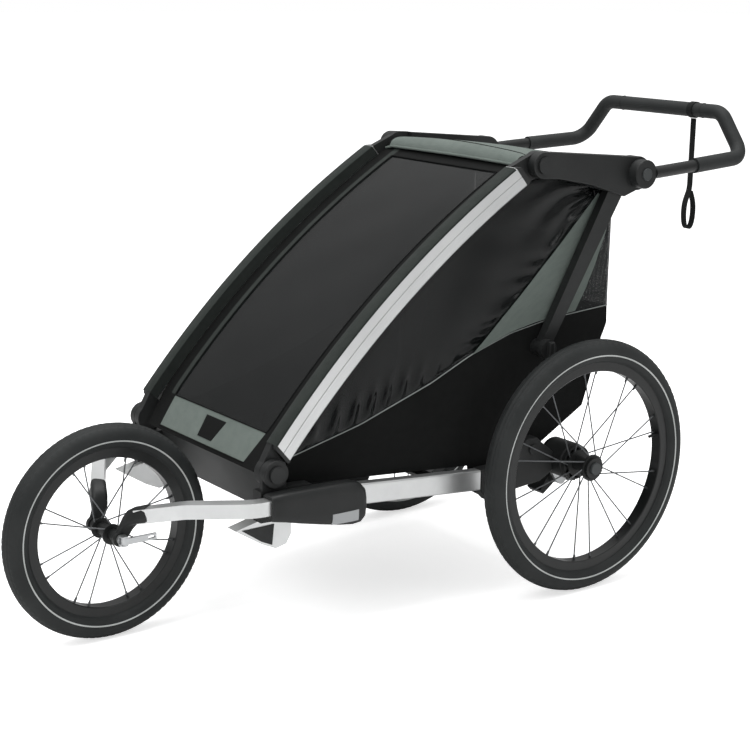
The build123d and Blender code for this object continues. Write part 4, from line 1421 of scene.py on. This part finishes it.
# ------------------------------------------------------------------ seat
@dataclass
class Seat:
    """Padded cushion and back, harness straps of webbing and seams across the back; the harness pads and the
    crotch strap are not built.
    """

    half: float = 158.0

    def build(self) -> None:
        """Build the seat's pieces."""
        cushion = self.pad("seat_pad", (-424, 322.5), (-116, 322.5), 19.0, 8.0)
        back = self.pad("back_pad", (-99.5, 326), (9, 694), 10.0, 6.0)
        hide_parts("seat_cushion")
        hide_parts("seat_back")
        straps = [self.strap(x) for x in (-60, 60)]
        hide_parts("harness_straps")
        channels = self.channels()
        ride_all("chassis", cushion, back, *straps, *channels)
        fold_down(back, *straps, *channels)

    def pad(self, name: str, foot: Point, head: Point, thick: float, puff: float) -> bpy.types.Object:
        """A crowned pad between two side-view points.

        Args:
            name: the piece's name.
            foot: front or lower end of its underside.
            head: rear or upper end of its underside.
            thick: millimetres before it swells.
            puff: how far a point may move while it swells.

        Returns:
            The pad.
        """
        dy, dz = head[0] - foot[0], head[1] - foot[1]
        length = hypot(dy, dz)
        normal = (-dz / length, dy / length)
        points, faces = [], []
        wide, long = 22, 24
        for layer in (0, 1):
            for i in range(long + 1):
                for c in range(wide + 1):
                    u, v = 2 * c / wide - 1, 2 * i / long - 1
                    pull = 1 - 0.035 * (v**2) * (1 - abs(u)) - 0.02 * (1 - v**2) * 0
                    x = self.half * u * (1 - 0.03 * (1 - v**2)) * pull
                    share = (v * (1 - 0.02 * (1 - u**2)) + 1) / 2
                    crown = layer * thick * (0.55 + 0.45 * (1 - u**4) * (1 - v**4))
                    y = foot[0] + dy * share + normal[0] * crown
                    z = foot[1] + dz * share + normal[1] * crown
                    points.append(LAYOUT.at(x, y, z))
        row, sheet_size = wide + 1, (wide + 1) * (long + 1)
        for i in range(long):
            for c in range(wide):
                a = i * row + c
                faces.append((a, a + 1, a + row + 1, a + row)[::-1])
                faces.append(tuple(k + sheet_size for k in (a, a + 1, a + row + 1, a + row)))
        rim = [c for c in range(row)] + [i * row + wide for i in range(1, long + 1)]
        rim += [long * row + c for c in range(wide - 1, -1, -1)] + [i * row for i in range(long - 1, 0, -1)]
        for a, b in zip(rim, rim[1:] + rim[:1]):
            faces.append((a, b, b + sheet_size, a + sheet_size))
        piece = new_object(name, points, faces, [SEAT_CLOTH])
        self.swell(piece, puff)
        self.lay_flat_places(piece)
        return piece

    def swell(self, piece: bpy.types.Object, puff: float) -> None:
        """Blow a pad up with a short cloth simulation and smooth it.

        Args:
            piece: the pad.
            puff: how much it swells.
        """
        bpy.context.view_layer.objects.active = piece
        remesh = piece.modifiers.new("even", "REMESH")
        remesh.mode = "VOXEL"
        remesh.voxel_size = 0.006
        bpy.ops.object.modifier_apply(modifier=remesh.name)
        rest = [v.co.copy() for v in piece.data.vertices]
        cloth = piece.modifiers.new("air", "CLOTH")
        cloth.settings.use_pressure = True
        cloth.settings.uniform_pressure_force = 4.0
        cloth.settings.effector_weights.gravity = 0.0
        for number in range(1, 15):
            bpy.context.scene.frame_set(number)
        bpy.ops.object.modifier_apply(modifier=cloth.name)
        bpy.context.scene.frame_set(1)
        for vertex, start in zip(piece.data.vertices, rest):
            step = vertex.co - start
            if step.length > puff * MM:
                vertex.co = start + step.normalized() * puff * MM * 0.5
        smooth = piece.modifiers.new("soften", "SMOOTH")
        smooth.factor, smooth.iterations = 0.5, 4
        bpy.ops.object.modifier_apply(modifier=smooth.name)
        piece.data.polygons.foreach_set("use_smooth", [True] * len(piece.data.polygons))

    def lay_flat_places(self, piece: bpy.types.Object) -> None:
        """Store each corner's flat place, seen from the front and from above.

        Args:
            piece: the pad.
        """
        mesh = piece.data
        layer = mesh.uv_layers.get("flat") or mesh.uv_layers.new(name="flat")
        for loop in mesh.loops:
            co = mesh.vertices[loop.vertex_index].co
            layer.data[loop.index].uv = (co.x, co.y + co.z)

    def strap(self, x: float) -> bpy.types.Object:
        """One shoulder strap of the harness, lying on the back.

        Args:
            x: the strap's middle across, in millimetres.

        Returns:
            The new piece.
        """
        foot, head = (-104.0, 321.0), (14.0, 700.0)
        dy, dz = head[0] - foot[0], head[1] - foot[1]
        length = hypot(dy, dz)
        rows = []
        for i in range(25):
            share = 0.37 + 0.46 * i / 24
            lift = 3.2 + 0.5 * sin(i * 0.7)
            y, z = foot[0] + dy * share - dz / length * lift, foot[1] + dz * share + dy / length * lift
            rows.append([LAYOUT.at(x - 15 + 30 * c / 8, y, z) for c in range(9)])
        return cloth_grid(f"harness_strap_{'left' if x > 0 else 'right'}", rows, 2.0, [WEBBING])

    def channels(self) -> list[bpy.types.Object]:
        """Sewn seams across the back pad.

        Returns:
            The new pieces.
        """
        pieces = []
        for k, share in enumerate((0.3, 0.62)):
            y, z = -104 + 118 * share - 15.2, 321 + 379 * share + 4.7
            path = [LAYOUT.at(x, y, z) for x in spread(-140, 140, 20)]
            pieces.append(swept(f"back_seam_{k + 1}", path, round_section(1.1, 6), BORDER_CLOTH))
        return pieces


# ------------------------------------------------------------------ handlebar trim and strap
@dataclass
class WristStrap:
    """Flat webbing that hangs from the cross bar and ends in a sewn loop.

    Attributes:
        cut_length: metres of webbing, rounded from the length of the drawn path; not used.
    """

    x: float = 91.0
    width: float = 14.0
    web: float = 1.9
    cut_length: float = 0.33

    def build(self) -> None:
        """Build the collar and the hanging webbing."""
        bar = LAYOUT.joints["strap_swing"]
        outer, inner, half = 17.1, 15.4, self.width / 2
        ring = [
            (outer, self.x - half, 0), (outer, self.x + half, 0), (inner, self.x + half, 0),
            (inner, self.x - half, 0),
        ]
        collar = lathe("strap_collar", Vector((0, bar.y, bar.z)), ring, [WEBBING], 40)
        route = [(0, -18), (0, -50), (0, -95), (0, -140), (0, -166), (-6, -180), (-12.5, -196), (-14.2, -216)]
        route += [
            (-12, -238), (-5, -251), (5, -251), (12, -238), (14.2, -216), (12.5, -196), (7, -181),
            (2.4, -171),
        ]
        path = self.smooth(bar, route)
        half_web = self.web / 2
        section = [(-half, -half_web), (half, -half_web), (half, half_web), (-half, half_web)]
        section = [(u * MM, v * MM) for u, v in section]
        webbing = swept("wrist_strap_webbing", path, section, WEBBING, Vector((1, 0, 0)))
        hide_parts("wrist_strap")
        ride_all("strap", collar, webbing)
        tuple(path[0])
        [tuple(p) for p in path]

    def smooth(self, bar: Vector, route: Sequence[Point]) -> list[Vector]:
        """The points of a smooth line through a hanging route.

        Args:
            bar: the cross bar's middle.
            route: (y, z) from the bar in millimetres.

        Returns:
            Points along the line.
        """
        curve = bpy.data.curves.new("strap_route", "CURVE")
        curve.dimensions = "3D"
        spline = curve.splines.new("NURBS")
        spline.points.add(len(route) - 1)
        for point, (y, z) in zip(spline.points, route):
            point.co = (self.x * MM, bar.y + y * MM, bar.z + z * MM, 1)
        spline.order_u = 3
        spline.use_endpoint_u = True
        spline.resolution_u = 6
        holder = bpy.data.objects.new("strap_route", curve)
        mesh = bpy.data.meshes.new_from_object(holder)
        points = [v.co.copy() for v in mesh.vertices]
        points = [p for i, p in enumerate(points) if i == 0 or (p - points[i - 1]).length > 1e-5]
        bpy.data.objects.remove(holder)
        bpy.data.meshes.remove(mesh)
        return points


@dataclass
class JogBoot:
    """Moulded boot outside one side rail that takes a jog arm, and its reflector.

    Attributes:
        side: +1 for the child's left, -1 for the right.
    """

    side: int
    inner_x: float = 236.6
    arm_x: float = 252.0
    arm_z: float = 280.0
    hole: Point = (12.8, 13.8)
    hole_end: float = -536.0
    sides: int = 48
    stations = (
        (-703.0, 270.0, 258.0, 300.0), (-700.0, 272.0, 255.0, 302.0), (-672.0, 272.0, 249.0, 303.0),
        (-640.0, 272.0, 241.0, 302.5), (-600.0, 272.0, 232.0, 302.0), (-560.0, 272.0, 224.0, 301.0),
        (-532.0, 272.0, 220.0, 299.5), (-515.0, 270.5, 221.0, 294.0), (-505.0, 267.0, 228.0, 284.0),
        (-499.5, 261.0, 240.0, 270.0),
    )

    def at(self, x: float, y: float, z: float) -> Vector:
        """A place on this side."""
        return LAYOUT.at(self.side * x, y, z)

    def ring(self, y: float, outer_x: float, low: float, high: float) -> list[Vector]:
        """One rounded section of the boot.

        Args:
            y: the section's place back from the rear axle.
            outer_x: how far across the section reaches.
            low: the section's foot.
            high: the section's top.

        Returns:
            The section's points.
        """
        cx, cz = (self.inner_x + outer_x) / 2, (low + high) / 2
        hx, hz = (outer_x - self.inner_x) / 2, (high - low) / 2
        ring = []
        for k in range(self.sides):
            a = tau * k / self.sides
            size = (abs(cos(a)) ** 4.5 + abs(sin(a)) ** 4.5) ** (-1 / 4.5)
            ring.append(self.at(cx + hx * size * cos(a), y, cz + hz * size * sin(a)))
        return ring

    def bore(self, y: float) -> list[Vector]:
        """One section of the hole for the arm.

        Args:
            y: place back from the rear axle, in millimetres.

        Returns:
            The section's points.
        """
        ring = []
        for k in range(self.sides):
            a = tau * k / self.sides
            reach = min(self.hole[0] / max(abs(cos(a)), 1e-6), self.hole[1] / max(abs(sin(a)), 1e-6))
            ring.append(self.at(self.arm_x + reach * cos(a), y, self.arm_z + reach * sin(a)))
        return ring

    def build(self) -> tuple[bpy.types.Object, bpy.types.Object]:
        """Build the boot and its reflector.

        Returns:
            The boot and its reflector.
        """
        rings = [self.bore(self.hole_end), self.bore(self.stations[0][0])]
        rings += [self.ring(*station) for station in self.stations]
        label = "left" if self.side > 0 else "right"
        boot = lofted(f"jog_boot_{label}", rings, PLASTIC, flip=self.side > 0, sharp=50)
        rows = []
        for z in spread(229, 249, 8):
            row = []
            for y in spread(-580, -524, 12):
                outer_x, low, high = (along_line([(s[0], s[n]) for s in self.stations], y) for n in (1, 2, 3))
                cz, hz, hx = (low + high) / 2, (high - low) / 2, (outer_x - self.inner_x) / 2
                bulge = (1 - min(0.98, abs((z - cz) / hz)) ** 4.5) ** (1 / 4.5)
                row.append(self.at((self.inner_x + outer_x) / 2 + hx * bulge + 0.7, y, z))
            rows.append(row if self.side > 0 else row[::-1])
        patch = cloth_grid(f"boot_reflector_{label}", rows, 1.2, [REFLECTOR])
        ride_all("chassis", boot, patch)
        return boot, patch


@dataclass
class DropOut:
    """Curved moulding from one jog arm's tip down to the front axle.

    Attributes:
        side: +1 for the child's left, -1 for the right.
    """

    side: int
    boss: float = 14.0
    sides: int = 32
    stations = (
        ((97.0, -849.0, 252.0), 13.6, 14.6), ((93.0, -851.5, 251.0), 14.8, 15.8),
        ((80.0, -858.0, 246.5), 15.0, 15.6),
        ((68.0, -863.0, 240.0), 15.0, 14.0), ((58.0, -867.0, 230.0), 14.6, 9.5),
        ((52.5, -871.0, 219.0), 13.8, 6.2),
        ((50.5, -877.0, 208.0), 13.2, 4.6), ((50.0, -882.0, 200.0), 12.6, 4.2),
        ((50.0, -885.0, 194.0), 10.5, 3.6),
    )

    def build(self) -> bpy.types.Object:
        """Build the moulding and its axle boss.

        Returns:
            The moulding.
        """
        spots = [LAYOUT.at(self.side * x, y, z) for (x, y, z), _, _ in self.stations]
        rings = []
        for i, (spot, (_, wide, thick)) in enumerate(zip(spots, self.stations)):
            ahead = (spots[min(i + 1, len(spots) - 1)] - spots[max(i - 1, 0)]).normalized()
            u = (Vector((0, 1, 0)) - ahead * ahead.y).normalized()
            v = ahead.cross(u)
            ring = []
            for k in range(self.sides):
                a = tau * k / self.sides
                size = (abs(cos(a)) ** 4 + abs(sin(a)) ** 4) ** -0.25 * MM
                ring.append(spot + u * (wide * size * cos(a)) + v * (thick * size * sin(a)))
            rings.append(ring)
        label = "left" if self.side > 0 else "right"
        moulding = lofted(f"dropout_{label}", rings, PLASTIC, sharp=60)
        hub, r = LAYOUT.joints["front_wheel_spin"], self.boss
        outline = [
            (4.2, 45.6, 0), (r - 1, 45.6, 0), (r, 46.6, 0), (r, 53.6, 0), (r - 1.4, 55.0, 0),
            (4.2, 55.0, 0),
        ]
        outline = [(radius, self.side * x, slot) for radius, x, slot in outline]
        boss = lathe(f"dropout_boss_{label}", hub, outline if self.side > 0 else outline[::-1], [PLASTIC], 48)
        ride_all("jog_kit", moulding, boss)
        return moulding


@dataclass
class HardTrim:
    """Small moulded and metal details that the frame's nodes leave out."""

    def build(self) -> None:
        """Build every detail."""
        self.foot_inserts()
        self.grip_rings()
        self.pedal_pad()

    def foot_inserts(self) -> None:
        """Dark recesses in the silver front feet."""
        outline = [(-738, 235), (-698, 208), (-676, 198), (-672, 236)]
        for side in (1, -1):
            points = [LAYOUT.at(side * x, y, z) for x in (224.0, 225.2) for y, z in outline]
            faces = [(0, 1, 2, 3)[::-1], (4, 5, 6, 7), (0, 1, 5, 4), (1, 2, 6, 5), (2, 3, 7, 6), (3, 0, 4, 7)]
            faces = faces if side > 0 else [f[::-1] for f in faces]
            piece = new_object(f"foot_insert_{'left' if side > 0 else 'right'}", points, faces, [PLASTIC])
            ride_all("chassis", piece)

    def grip_rings(self) -> None:
        """Seams where the grip's sleeves meet."""
        bar = LAYOUT.joints["strap_swing"]
        for label, x in (("left", 118.0), ("right", -118.0)):
            outline = [(15.5, x - 1.2, 0), (15.9, x, 0), (15.5, x + 1.2, 0), (14.9, x, 0)]
            ride_all("push_bar", lathe(f"grip_seam_{label}", Vector((0, bar.y, bar.z)), outline, [PLASTIC], 40))

    def pedal_pad(self) -> None:
        """Ribs on the brake pedal's tread."""
        for k in range(4):
            y = 50 + 11 * k
            z = 206.0 - (y - 42) * 0.46 + 0.6
            path = [LAYOUT.at(x, y, z) for x in (132, 150, 168)]
            ride_all("pedal", swept(f"pedal_rib_{k + 1}", path, round_section(1.3, 8), GRIP_RUBBER))


# ------------------------------------------------------------------ studio
@dataclass
class Studio:
    """Pale floor, soft lights and the camera.

    Attributes:
        aim: metres from the rear axle along y, and up from the ground, that the camera points at.
        sensor: width of the camera's sensor in millimetres.
    """

    azimuth: float = 54.02
    elevation: float = 13.51
    roll: float = 0.83
    distance: float = 3.25765
    lens: float = 80.1
    shift: Point = (0.0086, -0.0015)
    aim: Point = (-0.30964, 0.41308)
    sensor: float = 36.0

    def build(self) -> None:
        """Set the stage."""
        self.floor()
        self.lights()
        self.camera()

    def floor(self) -> None:
        """A wide pale floor."""
        mesh = bpy.data.meshes.new("floor")
        r = 40.0
        mesh.from_pydata([(-r, -r, 0), (r, -r, 0), (r, r, 0), (-r, r, 0)], [], [(0, 1, 2, 3)])
        material = bpy.data.materials.new("pale_floor")
        material.use_nodes = True
        shader = material.node_tree.nodes["Principled BSDF"]
        shader.inputs["Base Color"].default_value = (0.93, 0.93, 0.93, 1)
        shader.inputs["Roughness"].default_value = 0.9
        shader.inputs["Emission Color"].default_value = (1, 1, 1, 1)
        link = Link(material.node_tree)
        seen = link.math("MULTIPLY", link.add("LightPath").outputs["Is Camera Ray"], 0.62)
        link.tree.links.new(seen, shader.inputs["Emission Strength"])
        mesh.materials.append(material)
        floor = bpy.data.objects.new("floor", mesh)
        bpy.context.scene.collection.objects.link(floor)

    def lights(self) -> None:
        """A bright surround and three soft lights: key, side and top."""
        world = bpy.data.worlds.new("surround")
        world.use_nodes = True
        link = Link(world.node_tree)
        seen = link.add("LightPath").outputs["Is Camera Ray"]
        up = link.add("SeparateXYZ", {0: link.add("TexCoord").outputs["Generated"]}).outputs[2]
        sky = link.add("MapRange", {"Value": up, 1: 0.0, 2: 0.8, 3: 0.17, 4: 0.85})
        strength = link.math("MAXIMUM", sky.outputs[0], seen)
        link.tree.links.new(strength, world.node_tree.nodes["Background"].inputs[1])
        world.node_tree.nodes["Background"].inputs[0].default_value = (1, 1, 1, 1)
        bpy.context.scene.world = world
        for name, place, size, power in (
            ("key", (0.4, -3.0, 3.8), 2.2, 62.0),
            ("side", (4.2, 1.6, 1.6), 1.4, 12.0),
            ("top", (0.0, 0.4, 4.0), 2.6, 82.0),
        ):
            light = bpy.data.lights.new(name, "AREA")
            light.size, light.energy = size, power
            lamp = bpy.data.objects.new(name, light)
            lamp.location = place
            lamp.rotation_euler = (Vector((0, 0, 0.4)) - Vector(place)).to_track_quat("-Z", "Y").to_euler()
            bpy.context.scene.collection.objects.link(lamp)
        bpy.context.scene.view_settings.view_transform = "Standard"

    def camera(self) -> None:
        """The camera, turned about its own line of sight by a small roll."""
        a, e, r = radians(self.azimuth), radians(self.elevation), radians(self.roll)
        back = Vector((sin(a) * cos(e), -cos(a) * cos(e), sin(e)))
        right = Vector((cos(a), sin(a), 0))
        up = back.cross(right)
        across, top = right * cos(r) + up * sin(r), up * cos(r) - right * sin(r)
        target = Vector((0, LAYOUT.axle.y + self.aim[0], self.aim[1]))
        data = bpy.data.cameras.new("camera")
        data.lens, data.sensor_width = self.lens, self.sensor
        data.shift_x, data.shift_y = self.shift
        camera = bpy.data.objects.new("camera", data)
        turned = Matrix((across, top, back)).transposed().to_4x4()
        camera.matrix_world = Matrix.Translation(target + back * self.distance) @ turned
        bpy.context.scene.collection.objects.link(camera)
        bpy.context.scene.camera = camera


def main() -> None:
    """Build every sub-assembly in order."""
    logging.basicConfig(level=logging.INFO, format="%(message)s")
    Studio().build()
    WristStrap().build()
    dress_nodes()
    Wheel("front", "front_tyre", "front_wheel", "front_wheel_spin", 198.5, 138.0, 8).build()
    for side, outward in (("left", 1), ("right", -1)):
        Wheel(
            f"rear_{side}", f"rear_tyre_{side}", f"rear_wheel_{side}", f"rear_wheel_spin_{side}",
            250.0, 189.3, 10,
            outward,
        ).build()
    FrontCover().build()
    Roof().build()
    sides = [CabinSide(side).build() for side in (1, -1)]
    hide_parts("side_panels")
    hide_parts("side_windows")
    boots = [JogBoot(side).build() for side in (1, -1)]
    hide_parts("jog_sockets")
    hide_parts("socket_reflectors")
    drops = [DropOut(side).build() for side in (1, -1)]
    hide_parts("dropouts")
    CabinBack().build()
    Seat().build()
    HardTrim().build()


if __name__ == "__main__":
    main()
